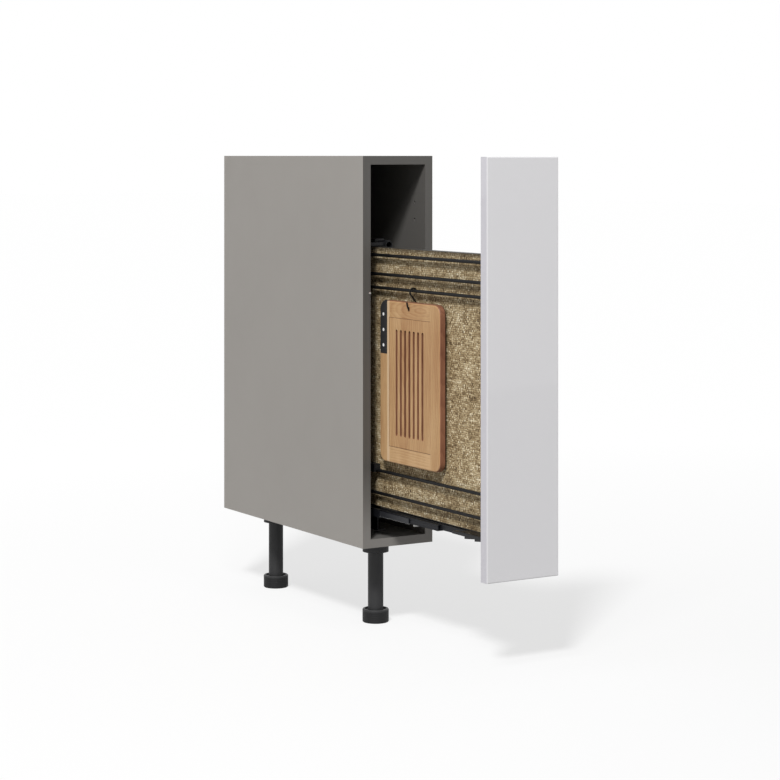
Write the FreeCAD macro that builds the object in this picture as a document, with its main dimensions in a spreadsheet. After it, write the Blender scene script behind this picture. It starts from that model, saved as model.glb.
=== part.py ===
import FreeCAD, Part
import math
import os
import re
import Sketcher

# Narrow kitchen base unit, 150 mm wide, on two adjustable legs.  A slab front is pulled straight
# out on a flat ball runner.  A decor panel behind the front carries five hanging rails, and a
# bread board with a crumb grid and a knife hangs from the third rail on an S-hook.
#
# Axes: X to the right, Y to the back, Z up, in millimetres.  The origin is on the floor, at the
# centre of the whole unit as it stands with its front pulled out.  x(), y() turn distances from
# the carcass's left side and front edge into these axes.

# ---------------------------------------------------------------- driving sizes, in millimetres
SIZES = {
    # carcass
    "carcass_width": 150, "carcass_height": 720, "carcass_depth": 560, "board_t": 16,
    "leg_height": 155, "back_t": 3, "back_inset": 18, "groove_depth": 8, "fit_play": 0.1,
    "dowel_d": 8, "dowel_length": 32, "dowel_setback": 60, "dowel_in_side": 11,
    "hinge_hole_d": 5, "hinge_hole_depth": 12, "hinge_hole_setback": 37,
    "hinge_hole_pitch": 32, "hinge_hole_inset": 87,
    "buffer_d": 3.6, "buffer_t": 1.7, "buffer_up": 468, "buffer_inset": 2,
    # legs
    "leg_front_setback": 81, "leg_rear_setback": 84, "socket_d": 49, "socket_h": 25,
    "socket_chamfer": 2, "peg_d": 8, "peg_length": 11, "peg_circle_d": 34,
    "tube_d": 29, "tube_wall": 2.5, "tube_plug_h": 14, "tube_in_socket": 19,
    "stem_d": 10, "stem_over_plug": 43, "stem_bottom": 5,
    "foot_d": 49.5, "foot_h": 25, "foot_well_gap": 1, "foot_well_floor": 11, "foot_rise": 10,
    "foot_rim_w": 4.5, "foot_rim_depth": 3, "foot_round": 1.5,
    # pull-out travel
    "pulled_out": 387, "closed_gap": 2, "travel_left": 13, "rest_gap": 0.3, "running_play": 0.05,
    # front
    "door_side_gap": 1.5, "door_top_gap": 1.6, "door_lift": 2.4, "door_t": 19, "door_round": 2,
    # panel
    "panel_left": 50, "panel_t": 16, "skin_t": 0.8, "edging_t": 1, "panel_height": 480,
    "panel_to_door": 0.5, "panel_to_back": 59,
    # rails
    "rail_d": 6, "rail_gap": 5, "rail_front_gap": 6, "rail_rear_gap": 6,
    "rail_1_down": 14, "rail_2_down": 49, "rail_3_down": 74, "rail_4_up": 68.5, "rail_5_up": 27,
    "post_d": 3.6, "collar_d": 8, "post_inset": 8, "post_in_panel": 10, "post_in_rail": 2.25,
    "stop_block_to_rear": 42, "stop_block_length": 34, "stop_block_h": 15, "stop_block_t": 9,
    "stop_block_under": 1,
    # runner
    "runner_length": 400, "runner_setback": 3, "runner_width": 45, "runner_h": 15.2,
    "stand_h": 38, "steel_t": 1.2, "middle_wall": 2.4, "middle_drop": 1.3, "middle_length": 390,
    "middle_closed": 1, "slide_gap": 0.35, "cage_gap": 0.25, "outer_lip": 2.7, "middle_lip": 2.1,
    "race": 0.6, "race_lift": 8.5, "race_half": 1.7, "ball_d": 4.2, "ball_play": 0.02,
    "ball_pitch": 30, "lower_ball_start": 12, "upper_ball_start": 15, "cage_t": 0.5,
    "cage_strip_t": 1, "cage_over_ball": 1.2, "nose_width": 13.8, "nose_drop": 5.6,
    "nose_t": 3, "nose_wall": 1.6, "nose_gap": 0.75, "lower_cage_length": 244,
    "upper_cage_length": 190, "upper_cage_closed": 104,
    # runner stands
    "stand_t": 2, "stand_length": 50, "stand_flange": 15, "stand_front_setback": 80,
    "stand_to_end": 23,
    # saddles that seat the panel on the runner
    "saddle_t": 1.8, "saddle_wing_t": 2, "saddle_h": 40, "saddle_front_length": 100,
    "saddle_rear_length": 60, "saddle_inset": 2,
    # toothed coupler beside the runner
    "coupler_width": 10, "coupler_gap": 0.5, "coupler_length": 121, "coupler_teeth": 82,
    "tooth_pitch": 31.5, "tooth_drop": 3.7, "coupler_body_h": 8.4, "lever_h": 4.4,
    # angle brackets behind the front
    "angle_t": 2, "angle_leg": 40, "angle_h": 60, "angle_gap": 4, "angle_high_down": 86,
    # upper guide
    "guide_d": 15, "guide_wall": 1.5, "guide_gap": 2.1, "guide_over_panel": 3, "guide_end": 5,
    "bracket_gap": 5, "bracket_rear_gap": 11, "bracket_width": 12, "bracket_plate_t": 3,
    "bracket_plate_h": 40, "arm_h": 6, "shoe_length": 30, "shoe_wall": 3.2,
    # fasteners
    "screw_d": 3.6, "screw_length": 12, "head_d": 7, "head_h": 2, "rivet_d": 4, "rivet_head_d": 7,
    "rivet_head_h": 0.5,
    # S-hook
    "wire_d": 3, "hook_to_door": 279.6, "hook_rail_gap": 2.4, "hook_off_rail": 0.7,
    "hook_board_gap": 1.2, "hook_off_middle": 0.5, "hook_below_top": 4.8, "hook_tip_out": 4.2,
    "hook_tip_over": 0.4, "hook_end_round": 1.2,
    # bread board
    "bread_width": 204.7, "bread_over_rail": 22, "bread_t": 14, "bread_below_rail": 20.5,
    "bread_behind_hook": 101, "bread_corner_r": 18, "bread_edge_r": 3, "slot_width": 5,
    "grid_rear_inset": 32.6, "grid_front_inset": 31.5, "grid_top_inset": 30.2,
    "grid_bottom_inset": 29.4, "grid_t": 5.5, "crumb_room": 3, "ledge": 7, "grid_play": 0.35,
    "grid_edge": 0.6, "grid_slot_width": 6.5, "grid_slot_end": 21.2, "grid_slot_side": 26.2,
    "grid_slot_count": 7,
    # knife
    "handle_width": 25.4, "handle_length": 98, "blade_t": 1.8, "blade_inset": 1.5,
    "blade_end": 19, "knife_play": 0.35, "rivet_r": 3, "rivet_first": 26, "rivet_last": 15.4,
}


class Length:
    """A size that knows its number and the sheet expression that it came from."""

    def __init__(self, text, mm):
        self.text = text
        self.mm = mm

    def join(self, other, sign, number):
        other_text = other.text if isinstance(other, Length) else repr(other)
        return Length("(%s %s %s)" % (self.text, sign, other_text), number)

    def __add__(self, other):
        return self.join(other, "+", self.mm + number_of(other))

    def __sub__(self, other):
        return self.join(other, "-", self.mm - number_of(other))

    def __mul__(self, other):
        return self.join(other, "*", self.mm * number_of(other))

    def __truediv__(self, other):
        return self.join(other, "/", self.mm / number_of(other))

    def __radd__(self, other):
        return Length(repr(other), other) + self

    def __rsub__(self, other):
        return Length(repr(other), other) - self

    def __rmul__(self, other):
        return self * other

    def root(self):
        return Length("sqrt(%s)" % self.text, math.sqrt(self.mm))

    def __neg__(self):
        return Length("(0 - %s)" % self.text, -self.mm)


def number_of(size):
    return size.mm if isinstance(size, Length) else size


class Sheet:
    """The spreadsheet of driving sizes; each size is read as an attribute."""

    def __init__(self, sizes):
        table = doc.addObject("Spreadsheet::Sheet", "Sizes")
        for row, (name, number) in enumerate(sizes.items(), start=1):
            table.set("A%d" % row, name)
            table.set("B%d" % row, str(number))
            table.setAlias("B%d" % row, name)
            setattr(self, name, Length("Sizes." + name, float(number)))


doc = FreeCAD.newDocument("rail_cabinet")
s = Sheet(SIZES)
doc.recompute()
PARTS = []


# ---------------------------------------------------------------- helpers
def bind(thing, prop, size):
    """Ties a property to an expression of the sheet."""
    thing.setExpression(prop, size.text if isinstance(size, Length) else repr(float(size)))


def node(thing, label):
    """Marks an object as a piece of the unit, under its own name."""
    thing.Label = label
    PARTS.append(thing)
    return thing


def box(x_span, y_span, z_span):
    solid = doc.addObject("Part::Box", "block")
    for prop, axis, span in (("Length", "x", x_span), ("Width", "y", y_span), ("Height", "z", z_span)):
        bind(solid, prop, span[1] - span[0])
        bind(solid, "Placement.Base." + axis, span[0])
    return solid


TURNS = {
    "x": FreeCAD.Rotation(FreeCAD.Vector(0, 1, 0), 90),
    "y": FreeCAD.Rotation(FreeCAD.Vector(1, 0, 0), -90),
    "z": FreeCAD.Rotation(),
}


def rod(axis, start, length, radius):
    """A cylinder from start, along x, y or z."""
    solid = doc.addObject("Part::Cylinder", "rod")
    solid.Placement = FreeCAD.Placement(FreeCAD.Vector(), TURNS[axis])
    bind(solid, "Radius", radius)
    bind(solid, "Height", length)
    for name, size in zip("xyz", start):
        bind(solid, "Placement.Base." + name, size)
    return solid


def group(things, kind="Part::Compound"):
    """Several solids as one object: side by side, or fused with kind Part::MultiFuse."""
    if len(things) == 1:
        return things[0]
    joined = doc.addObject(kind, "group")
    if kind == "Part::Compound":
        joined.Links = things
    else:
        joined.Shapes = things
    return joined


def cut(base, tools, overlapping=False):
    piece = doc.addObject("Part::Cut", "cut")
    piece.Base = base
    piece.Tool = group(tools, "Part::MultiFuse" if overlapping else "Part::Compound")
    return piece


def new_body(label):
    body = doc.addObject("PartDesign::Body", label)
    return node(body, label)


def origin_feature(body, role):
    return [item for item in body.Origin.OriginFeatures if item.Role == role][0]


def sketch(body, plane, at):
    """A sketch square to an axis: XY at a height, XZ at a depth, YZ at a side distance."""
    drawing = body.newObject("Sketcher::SketchObject", "profile")
    drawing.AttachmentSupport = (origin_feature(body, plane + "_Plane"), [""])
    drawing.MapMode = "FlatFace"
    bind(drawing, "AttachmentOffset.Base.z", -at if plane == "XZ" else at)
    return drawing


def constrain(drawing, rules):
    """Adds constraints, each with the size that drives it, or None."""
    first = drawing.ConstraintCount
    drawing.addConstraint([rule for rule, size in rules])
    for index, (rule, size) in enumerate(rules, start=first):
        if isinstance(size, Length):
            drawing.setExpression("Constraints[%d]" % index, size.text)


def point_rules(item, end, across, up):
    """Places a point of a sketch item by its two distances from the sketch's origin."""
    rules = []
    for kind, axis, size in (("DistanceX", -2, across), ("DistanceY", -1, up)):
        number = number_of(size)
        if abs(number) < 1e-9:
            rules.append((Sketcher.Constraint("PointOnObject", item, end, axis), None))
        else:
            rules.append((Sketcher.Constraint(kind, -1, 1, item, end, number), size))
    return rules


def polygon(drawing, points):
    first = drawing.GeometryCount
    count = len(points)
    spots = [FreeCAD.Vector(number_of(a), number_of(b), 0) for a, b in points]
    lines = [Part.LineSegment(spots[i], spots[(i + 1) % count]) for i in range(count)]
    drawing.addGeometry(lines, False)
    rules = []
    for i in range(count):
        following = first + (i + 1) % count
        rules.append((Sketcher.Constraint("Coincident", first + i, 2, following, 1), None))
    for i, (across, up) in enumerate(points):
        rules += point_rules(first + i, 1, across, up)
    constrain(drawing, rules)


def rectangle(drawing, across, up):
    polygon(drawing, [(across[0], up[0]), (across[1], up[0]), (across[1], up[1]), (across[0], up[1])])


def circle(drawing, across, up, radius):
    item = drawing.GeometryCount
    centre = FreeCAD.Vector(number_of(across), number_of(up), 0)
    drawing.addGeometry(Part.Circle(centre, FreeCAD.Vector(0, 0, 1), number_of(radius)), False)
    rules = point_rules(item, 3, across, up)
    rules.append((Sketcher.Constraint("Radius", item, number_of(radius)), radius))
    constrain(drawing, rules)


def stadium(drawing, across, up, width):
    """An upright slot with round ends, from up[0] to up[1]."""
    item = drawing.GeometryCount
    radius = width / 2
    ends = (up[0] + radius, up[1] - radius)
    r = number_of(radius)
    low, high = [FreeCAD.Vector(number_of(across), number_of(end), 0) for end in ends]
    side = FreeCAD.Vector(r, 0, 0)
    drawing.addGeometry([
        Part.ArcOfCircle(Part.Circle(high, FreeCAD.Vector(0, 0, 1), r), 0, math.pi),
        Part.LineSegment(high - side, low - side),
        Part.ArcOfCircle(Part.Circle(low, FreeCAD.Vector(0, 0, 1), r), math.pi, 2 * math.pi),
        Part.LineSegment(low + side, high + side),
    ], False)
    rules = [
        (Sketcher.Constraint("Tangent", item, 2, item + 1, 1), None),
        (Sketcher.Constraint("Tangent", item + 1, 2, item + 2, 1), None),
        (Sketcher.Constraint("Tangent", item + 2, 2, item + 3, 1), None),
        (Sketcher.Constraint("Tangent", item + 3, 2, item, 1), None),
        (Sketcher.Constraint("Radius", item, r), radius),
    ]
    rules += point_rules(item, 3, across, ends[1])
    rules += point_rules(item + 2, 3, across, ends[0])
    constrain(drawing, rules)


def plane_of(drawing):
    return drawing.AttachmentSupport[0][0].Role[:2]


def pad(drawing, length):
    """Grows a sketch along its positive axis."""
    feature = drawing.getParentGeoFeatureGroup().newObject("PartDesign::Pad", "pad")
    feature.Profile = drawing
    feature.Reversed = plane_of(drawing) == "XZ"
    bind(feature, "Length", length)
    return feature


def pocket(drawing, depth):
    """Cuts a sketch into its body along its positive axis."""
    feature = drawing.getParentGeoFeatureGroup().newObject("PartDesign::Pocket", "pocket")
    feature.Profile = drawing
    feature.Reversed = plane_of(drawing) != "XZ"
    bind(feature, "Length", depth)
    return feature


def revolve(drawing):
    feature = drawing.getParentGeoFeatureGroup().newObject("PartDesign::Revolution", "turned")
    feature.Profile = drawing
    feature.ReferenceAxis = (drawing, ["V_Axis"])
    feature.Angle = 360
    return feature


def row(body, feature, axis, length, count):
    """Repeats a feature along an axis of its body; count copies span the length."""
    pattern = body.newObject("PartDesign::LinearPattern", "row")
    pattern.Originals = [feature]
    pattern.Direction = (origin_feature(body, axis + "_Axis"), [""])
    bind(pattern, "Length", length)
    bind(pattern, "Occurrences", count)
    body.Tip = pattern
    return pattern


def edges_of(body, wanted):
    """Names of the tip's edges that a test picks, from their middle and direction."""
    doc.recompute()
    names = []
    for index, edge in enumerate(body.Tip.Shape.Edges, start=1):
        first, last = edge.Vertexes[0].Point, edge.Vertexes[-1].Point
        if wanted(edge.BoundBox.Center, last - first, edge):
            names.append("Edge%d" % index)
    return names


def soften(body, kind, size, wanted):
    """A fillet or chamfer on the edges that a test picks."""
    names = edges_of(body, wanted)
    base = body.Tip
    feature = body.newObject("PartDesign::" + kind, kind.lower())
    feature.Base = (base, names)
    bind(feature, "Radius" if kind == "Fillet" else "Size", size)
    body.Tip = feature
    return feature


def runs_along(direction, axis):
    """True for a straight span along one axis."""
    parts = dict(zip("xyz", (abs(direction.x), abs(direction.y), abs(direction.z))))
    along = parts.pop(axis)
    return along > 1e-6 and max(parts.values()) < 1e-6


def near(first, second):
    return abs(first - number_of(second)) < 1e-4


# ---------------------------------------------------------------- shared places
front_plane = (s.pulled_out + s.door_t - s.carcass_depth) / 2


def x(from_left):
    """Side distance, measured from the carcass's left outer face."""
    return from_left - s.carcass_width / 2


def y(from_front):
    """Depth, measured from the carcass's front edge towards the back."""
    return from_front + front_plane


zero = s.board_t * 0
carcass_top = s.leg_height + s.carcass_height
floor_top = s.leg_height + s.board_t
inner_right = s.carcass_width - s.board_t
back_y = s.carcass_depth - s.back_inset
travel = s.pulled_out - s.closed_gap
screw_bore_r = s.screw_d / 2 + s.fit_play / 2

# The runner's height sets the panel's: the panel stands on saddles on top of the runner.
runner_base = floor_top + s.stand_h
runner_top = runner_base + s.runner_h
panel_bottom = runner_top + s.saddle_t
panel_top = panel_bottom + s.panel_height
panel_right = s.panel_left + s.panel_t
panel_mid = s.panel_left + s.panel_t / 2
panel_front = -s.pulled_out + s.panel_to_door
panel_rear = back_y - s.panel_to_back - travel
door_back = y(-s.pulled_out)
guide_z = panel_top + s.guide_over_panel


def screw(axis, seat, forward):
    """A pan-head screw: head on the seat, shank driven along the axis (forward +1 or -1)."""
    places = dict(zip("xyz", seat))
    head_at = dict(places)
    shank_at = dict(places)
    if forward > 0:
        head_at[axis] = places[axis] - s.head_h
    else:
        shank_at[axis] = places[axis] - s.screw_length
    head = rod(axis, head_at.values(), s.head_h, s.head_d / 2)
    shank = rod(axis, shank_at.values(), s.screw_length, s.screw_d / 2)
    return group([head, shank], "Part::MultiFuse")


def screw_bore(axis, seat, forward):
    """The hole that takes a screw's shank, a little deeper than the shank."""
    places = dict(zip("xyz", seat))
    depth = s.screw_length + s.fit_play
    if forward < 0:
        places[axis] = places[axis] - depth
    return rod(axis, places.values(), depth, screw_bore_r)


# ---------------------------------------------------------------- carcass
# Dowels join the sides to the top and bottom panels, two at each of the four corners.
dowel_rows = (s.dowel_setback, s.carcass_depth - s.dowel_setback)
dowel_levels = (s.leg_height + s.board_t / 2, carcass_top - s.board_t / 2)
dowel_starts = (s.board_t - s.dowel_in_side, inner_right + s.dowel_in_side - s.dowel_length)


def dowel_rods(levels, starts, radius, slack):
    rods = []
    for level in levels:
        for start in starts:
            for depth in dowel_rows:
                place = (x(start) - slack, y(depth), level)
                rods.append(rod("x", place, s.dowel_length + slack * 2, radius))
    return rods


dowel_bore_r = s.dowel_d / 2 + s.running_play
back_span = (y(back_y - s.fit_play / 2), y(back_y + s.back_t + s.fit_play / 2))

# The hinge-plate holes: a pair near the top and a pair near the bottom of each side.
hinge_levels = (
    carcass_top - s.hinge_hole_inset,
    carcass_top - s.hinge_hole_inset - s.hinge_hole_pitch,
    s.leg_height + s.hinge_hole_inset,
    s.leg_height + s.hinge_hole_inset + s.hinge_hole_pitch,
)

# The upper guide's brackets are screwed to the left side, two screws each.
guide_screw_levels = (guide_z - s.bracket_plate_h / 3, guide_z + s.bracket_plate_h / 3)
shoe_start = panel_rear - s.shoe_length
guide_rows = (
    shoe_start - s.travel_left - s.bracket_gap - s.bracket_width,
    panel_rear + travel + s.bracket_rear_gap,
)
guide_seats = []
for bracket_start in guide_rows:
    for level in guide_screw_levels:
        side = x(s.board_t + s.bracket_plate_t)
        guide_seats.append((side, y(bracket_start + s.bracket_width / 2), level))


def side_panel(label, outer, groove_start, hole_start, dowel_start, extra):
    board = box((x(outer), x(outer + s.board_t)), (y(zero), y(s.carcass_depth)),
                (s.leg_height, carcass_top))
    tools = dowel_rods(dowel_levels, (dowel_start,), dowel_bore_r, s.fit_play)
    for level in hinge_levels:
        place = (x(hole_start), y(s.hinge_hole_setback), level)
        tools.append(rod("x", place, s.hinge_hole_depth, s.hinge_hole_d / 2))
    tools.append(box((x(groove_start), x(groove_start + s.groove_depth)), back_span,
                     (floor_top - s.groove_depth, carcass_top - s.board_t + s.groove_depth)))
    node(cut(board, tools + extra), label)


side_panel("side_panel_left", zero, s.board_t - s.groove_depth, s.board_t - s.hinge_hole_depth,
           dowel_starts[0], [screw_bore("x", seat, -1) for seat in guide_seats])
side_panel("side_panel_right", inner_right, inner_right, inner_right, dowel_starts[1], [])


def flat_panel(label, low, groove_low, extra):
    board = box((x(s.board_t), x(inner_right)), (y(zero), y(s.carcass_depth)), (low, low + s.board_t))
    tools = dowel_rods((low + s.board_t / 2,), dowel_starts, dowel_bore_r, s.fit_play)
    groove = (groove_low, groove_low + s.groove_depth)
    tools.append(box((x(s.board_t), x(inner_right)), back_span, groove))
    node(cut(board, tools + extra), label)


leg_depths = {"front": s.leg_front_setback, "rear": s.carcass_depth - s.leg_rear_setback}
runner_x = panel_mid
runner_end = s.runner_setback + s.runner_length
stand_starts = {"front": s.stand_front_setback, "rear": runner_end - s.stand_to_end - s.stand_length}
stand_sides = (runner_x - s.runner_width / 2 - s.stand_flange / 2,
               runner_x + s.runner_width / 2 + s.stand_flange / 2)
stand_seats = []
for start in stand_starts.values():
    for side in stand_sides:
        stand_seats.append((x(side), y(start + s.stand_length / 2), floor_top + s.stand_t))

bottom_tools = [screw_bore("z", seat, -1) for seat in stand_seats]
for depth in leg_depths.values():
    for across, along in ((1, 1), (1, -1), (-1, -1), (-1, 1)):
        reach = s.peg_circle_d / 2 * math.sqrt(0.5)
        bottom_tools.append(rod("z", (reach * across, y(depth) + reach * along, s.leg_height),
                                s.peg_length + s.fit_play, s.peg_d / 2 + s.running_play))
flat_panel("bottom_panel", s.leg_height, floor_top - s.groove_depth, bottom_tools)
flat_panel("top_panel", carcass_top - s.board_t, carcass_top - s.board_t, [])

node(box((x(s.board_t - s.groove_depth + s.fit_play), x(inner_right + s.groove_depth - s.fit_play)),
         (y(back_y), y(back_y + s.back_t)),
         (floor_top - s.groove_depth + s.fit_play, carcass_top - s.board_t + s.groove_depth - s.fit_play)),
     "back_panel")
node(group(dowel_rods(dowel_levels, dowel_starts, s.dowel_d / 2, zero)), "carcass_dowels")

# Small round buffers on the front edges, where the closing front lands.
buffers = []
for side in (s.board_t - s.buffer_inset, inner_right + s.buffer_inset):
    buffer_start = (x(side), y(-s.buffer_t), s.leg_height + s.buffer_up)
    buffers.append(rod("y", buffer_start, s.buffer_t, s.buffer_d / 2))
node(group(buffers), "door_buffers")


# ---------------------------------------------------------------- legs
tube_bottom = s.foot_well_floor + s.foot_rise
stem_top = tube_bottom + s.tube_plug_h + s.stem_over_plug


def leg_socket(label, depth):
    """The moulded socket under the bottom panel, with four pegs knocked into the board."""
    body = new_body(label)
    top = s.leg_height * 1
    low = s.leg_height - s.socket_h
    bore = s.tube_d / 2 + s.running_play
    drawing = sketch(body, "XZ", y(depth))
    seat = low + s.tube_in_socket
    polygon(drawing, [
        (zero, top), (zero, seat), (bore, seat), (bore, low), (bore + s.tube_wall, low),
        (s.socket_d / 2, low + s.socket_chamfer), (s.socket_d / 2, top),
    ])
    revolve(drawing)
    pegs = sketch(body, "XY", top)
    reach = s.peg_circle_d / 2 * math.sqrt(0.5)
    for across, along in ((1, 1), (1, -1), (-1, -1), (-1, 1)):
        circle(pegs, reach * across, y(depth) + reach * along, s.peg_d / 2)
    pad(pegs, s.peg_length)


def leg_tube(label, depth):
    """The tube, with a threaded plug at its lower end that carries the foot's stem."""
    body = new_body(label)
    top = s.leg_height - s.socket_h + s.tube_in_socket
    inside = s.tube_d / 2 - s.tube_wall
    bore = s.stem_d / 2 + s.running_play
    drawing = sketch(body, "XZ", y(depth))
    polygon(drawing, [
        (bore, tube_bottom), (s.tube_d / 2, tube_bottom), (s.tube_d / 2, top), (inside, top),
        (inside, tube_bottom + s.tube_plug_h), (bore, tube_bottom + s.tube_plug_h),
    ])
    revolve(drawing)


def foot(label, depth):
    """The round foot: a rim round a well that the tube sinks into when the foot is screwed up."""
    body = new_body(label)
    well = s.tube_d / 2 + s.foot_well_gap
    drawing = sketch(body, "XZ", y(depth))
    bore = s.stem_d / 2 + s.running_play
    rim_low = s.foot_h - s.foot_rim_depth
    polygon(drawing, [
        (zero, zero), (s.foot_d / 2 - s.foot_round, zero), (s.foot_d / 2, s.foot_round),
        (s.foot_d / 2, s.foot_h - s.foot_round), (s.foot_d / 2 - s.foot_round, s.foot_h),
        (s.foot_d / 2 - s.foot_rim_w, s.foot_h), (s.foot_d / 2 - s.foot_rim_w, rim_low),
        (well, rim_low), (well, s.foot_well_floor), (bore, s.foot_well_floor),
        (bore, s.stem_bottom), (zero, s.stem_bottom),
    ])
    revolve(drawing)


for end, depth in leg_depths.items():
    leg_socket("leg_socket_" + end, depth)
    leg_tube("leg_tube_" + end, depth)
    foot("foot_" + end, depth)
    stem = rod("z", (zero, y(depth), s.stem_bottom), stem_top - s.stem_bottom, s.stem_d / 2)
    node(stem, "foot_stem_" + end)


# ---------------------------------------------------------------- runner stands
stand_top = runner_base * 1
rivet_seats = {}
for end, start in stand_starts.items():
    rivet_seats[end] = (start + s.stand_length / 4, start + s.stand_length * 3 / 4)


def runner_stand(label, start, rivets):
    """A folded steel hat section that lifts the runner clear of the bottom panel."""
    body = new_body(label)
    half = s.runner_width / 2
    wide = half + s.stand_flange
    thick = s.stand_t
    drawing = sketch(body, "XZ", y(start))
    polygon(drawing, [
        (x(runner_x - wide), floor_top), (x(runner_x - half + thick), floor_top),
        (x(runner_x - half + thick), stand_top - thick), (x(runner_x + half - thick), stand_top - thick),
        (x(runner_x + half - thick), floor_top), (x(runner_x + wide), floor_top),
        (x(runner_x + wide), floor_top + thick), (x(runner_x + half), floor_top + thick),
        (x(runner_x + half), stand_top), (x(runner_x - half), stand_top),
        (x(runner_x - half), floor_top + thick), (x(runner_x - wide), floor_top + thick),
    ])
    pad(drawing, s.stand_length)
    holes = sketch(body, "XY", floor_top)
    for side in stand_sides:
        circle(holes, x(side), y(start + s.stand_length / 2), screw_bore_r)
    pocket(holes, thick)
    tops = sketch(body, "XY", stand_top - thick)
    for depth in rivets:
        circle(tops, x(runner_x), y(depth), s.rivet_d / 2 + s.running_play)
    pocket(tops, thick)


for end, start in stand_starts.items():
    runner_stand("runner_stand_" + end, start, rivet_seats[end])
node(group([screw("z", seat, -1) for seat in stand_seats]), "stand_screws")


def rivet(across, along, low, high):
    """A flat-headed rivet through two sheets, from z low to z high, with a head at each end."""
    shank = rod("z", (across, along, low), high - low, s.rivet_d / 2)
    head = rod("z", (across, along, high), s.rivet_head_h, s.rivet_head_d / 2)
    foot_head = rod("z", (across, along, low - s.rivet_head_h), s.rivet_head_h, s.rivet_head_d / 2)
    return group([shank, head, foot_head], "Part::MultiFuse")


rivets = []
for depths in rivet_seats.values():
    for depth in depths:
        rivets.append(rivet(x(runner_x), y(depth), stand_top - s.stand_t, stand_top + s.steel_t))
node(group(rivets), "runner_rivets")

# ---------------------------------------------------------------- the flat ball runner
race_z = runner_base + s.race_lift
race_slope = (s.race_half * s.race_half + s.race * s.race).root() / s.race_half
# Room between two facing walls, so that a ball just clears both V-grooves.
track = ((s.ball_d / 2 + s.ball_play) * race_slope - s.race) * 2


def race(wall, side):
    """Points of a shallow V-groove in a wall, from low to high; side is where the steel lies."""
    return [(wall, race_z - s.race_half), (wall + s.race * side, race_z), (wall, race_z + s.race_half)]


def runner_member(label, right_half, start, length):
    """A pressed steel channel: its right half and the mirror image of that, grown to length."""
    body = new_body(label)
    drawing = sketch(body, "XZ", y(start))
    left_half = [(-across, up) for across, up in reversed(right_half)]
    polygon(drawing, [(x(runner_x) + across, up) for across, up in right_half + left_half])
    pad(drawing, length)
    return body


outer_half = s.runner_width / 2
outer_top = runner_top - s.rest_gap
outer_in = outer_half - s.steel_t
outer_profile = [
    (outer_half, runner_base), (outer_half, outer_top), (outer_in - s.outer_lip, outer_top),
    (outer_in - s.outer_lip, outer_top - s.steel_t), (outer_in, outer_top - s.steel_t),
] + race(outer_in, 1)[::-1] + [(outer_in, runner_base + s.steel_t)]
outer_member = runner_member("runner_outer_member", outer_profile, s.runner_setback, s.runner_length)
outer_holes = sketch(outer_member, "XY", runner_base)
for depths in rivet_seats.values():
    for depth in depths:
        circle(outer_holes, x(runner_x), y(depth), s.rivet_d / 2 + s.running_play)
pocket(outer_holes, s.steel_t)

middle_half = outer_in - track
middle_low = runner_base + s.steel_t + s.rivet_head_h + s.cage_t + s.slide_gap * 2
middle_top = runner_top - s.middle_drop
middle_in = middle_half - s.middle_wall
middle_front = -travel / 2 + s.middle_closed
middle_profile = [(middle_half, middle_low)] + race(middle_half, -1) + [
    (middle_half, middle_top), (middle_in - s.middle_lip, middle_top),
    (middle_in - s.middle_lip, middle_top - s.steel_t), (middle_in, middle_top - s.steel_t),
] + race(middle_in, 1)[::-1] + [(middle_in, middle_low + s.steel_t)]
runner_member("runner_middle_member", middle_profile, middle_front, s.middle_length)

inner_half = middle_in - track
inner_low = middle_low + s.steel_t + s.cage_t + s.cage_gap * 2
inner_front = -travel
inner_profile = [(inner_half - s.steel_t, runner_top - s.steel_t), (inner_half - s.steel_t, inner_low)]
inner_profile += [(inner_half, inner_low)] + race(inner_half, -1) + [(inner_half, runner_top)]
inner_member = runner_member("runner_inner_member", inner_profile, inner_front, s.runner_length)

# Ball cages: a thin tray with an upright strip each side, holed for the balls.
lower_cage_z = middle_low - s.slide_gap - s.cage_t
upper_cage_z = inner_low - s.cage_gap - s.cage_t
cage_top = race_z + s.ball_d / 2 + s.cage_over_ball
lower_ball_x = outer_in - track / 2
upper_ball_x = middle_in - track / 2
lower_cage_front = -travel / 4 - s.nose_gap
upper_cage_front = -travel * 3 / 4 + s.upper_cage_closed
lower_balls = [s.runner_setback + s.lower_ball_start + s.ball_pitch * index for index in range(4)]
upper_balls = [upper_cage_front + s.upper_ball_start + s.ball_pitch * index for index in range(5)]


def ball_cage(label, low, ball_x, start, length, ball_rows):
    body = new_body(label)
    out = ball_x + s.cage_strip_t / 2
    inside = ball_x - s.cage_strip_t / 2
    tray = low + s.cage_t
    outline = [
        (-out, low), (out, low), (out, cage_top), (inside, cage_top), (inside, tray),
        (-inside, tray), (-inside, cage_top), (-out, cage_top),
    ]
    drawing = sketch(body, "XZ", y(start))
    polygon(drawing, [(x(runner_x) + across, up) for across, up in outline])
    pad(drawing, length)
    holes = sketch(body, "YZ", x(runner_x) - out)
    for depth in ball_rows:
        circle(holes, y(depth), race_z, s.ball_d / 2 + s.fit_play)
    pocket(holes, out * 2)
    return body


lower_cage = ball_cage("ball_cage_lower", lower_cage_z, lower_ball_x, lower_cage_front,
                       s.lower_cage_length, lower_balls)
ball_cage("ball_cage_upper", upper_cage_z, upper_ball_x, upper_cage_front, s.upper_cage_length,
          upper_balls)

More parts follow.
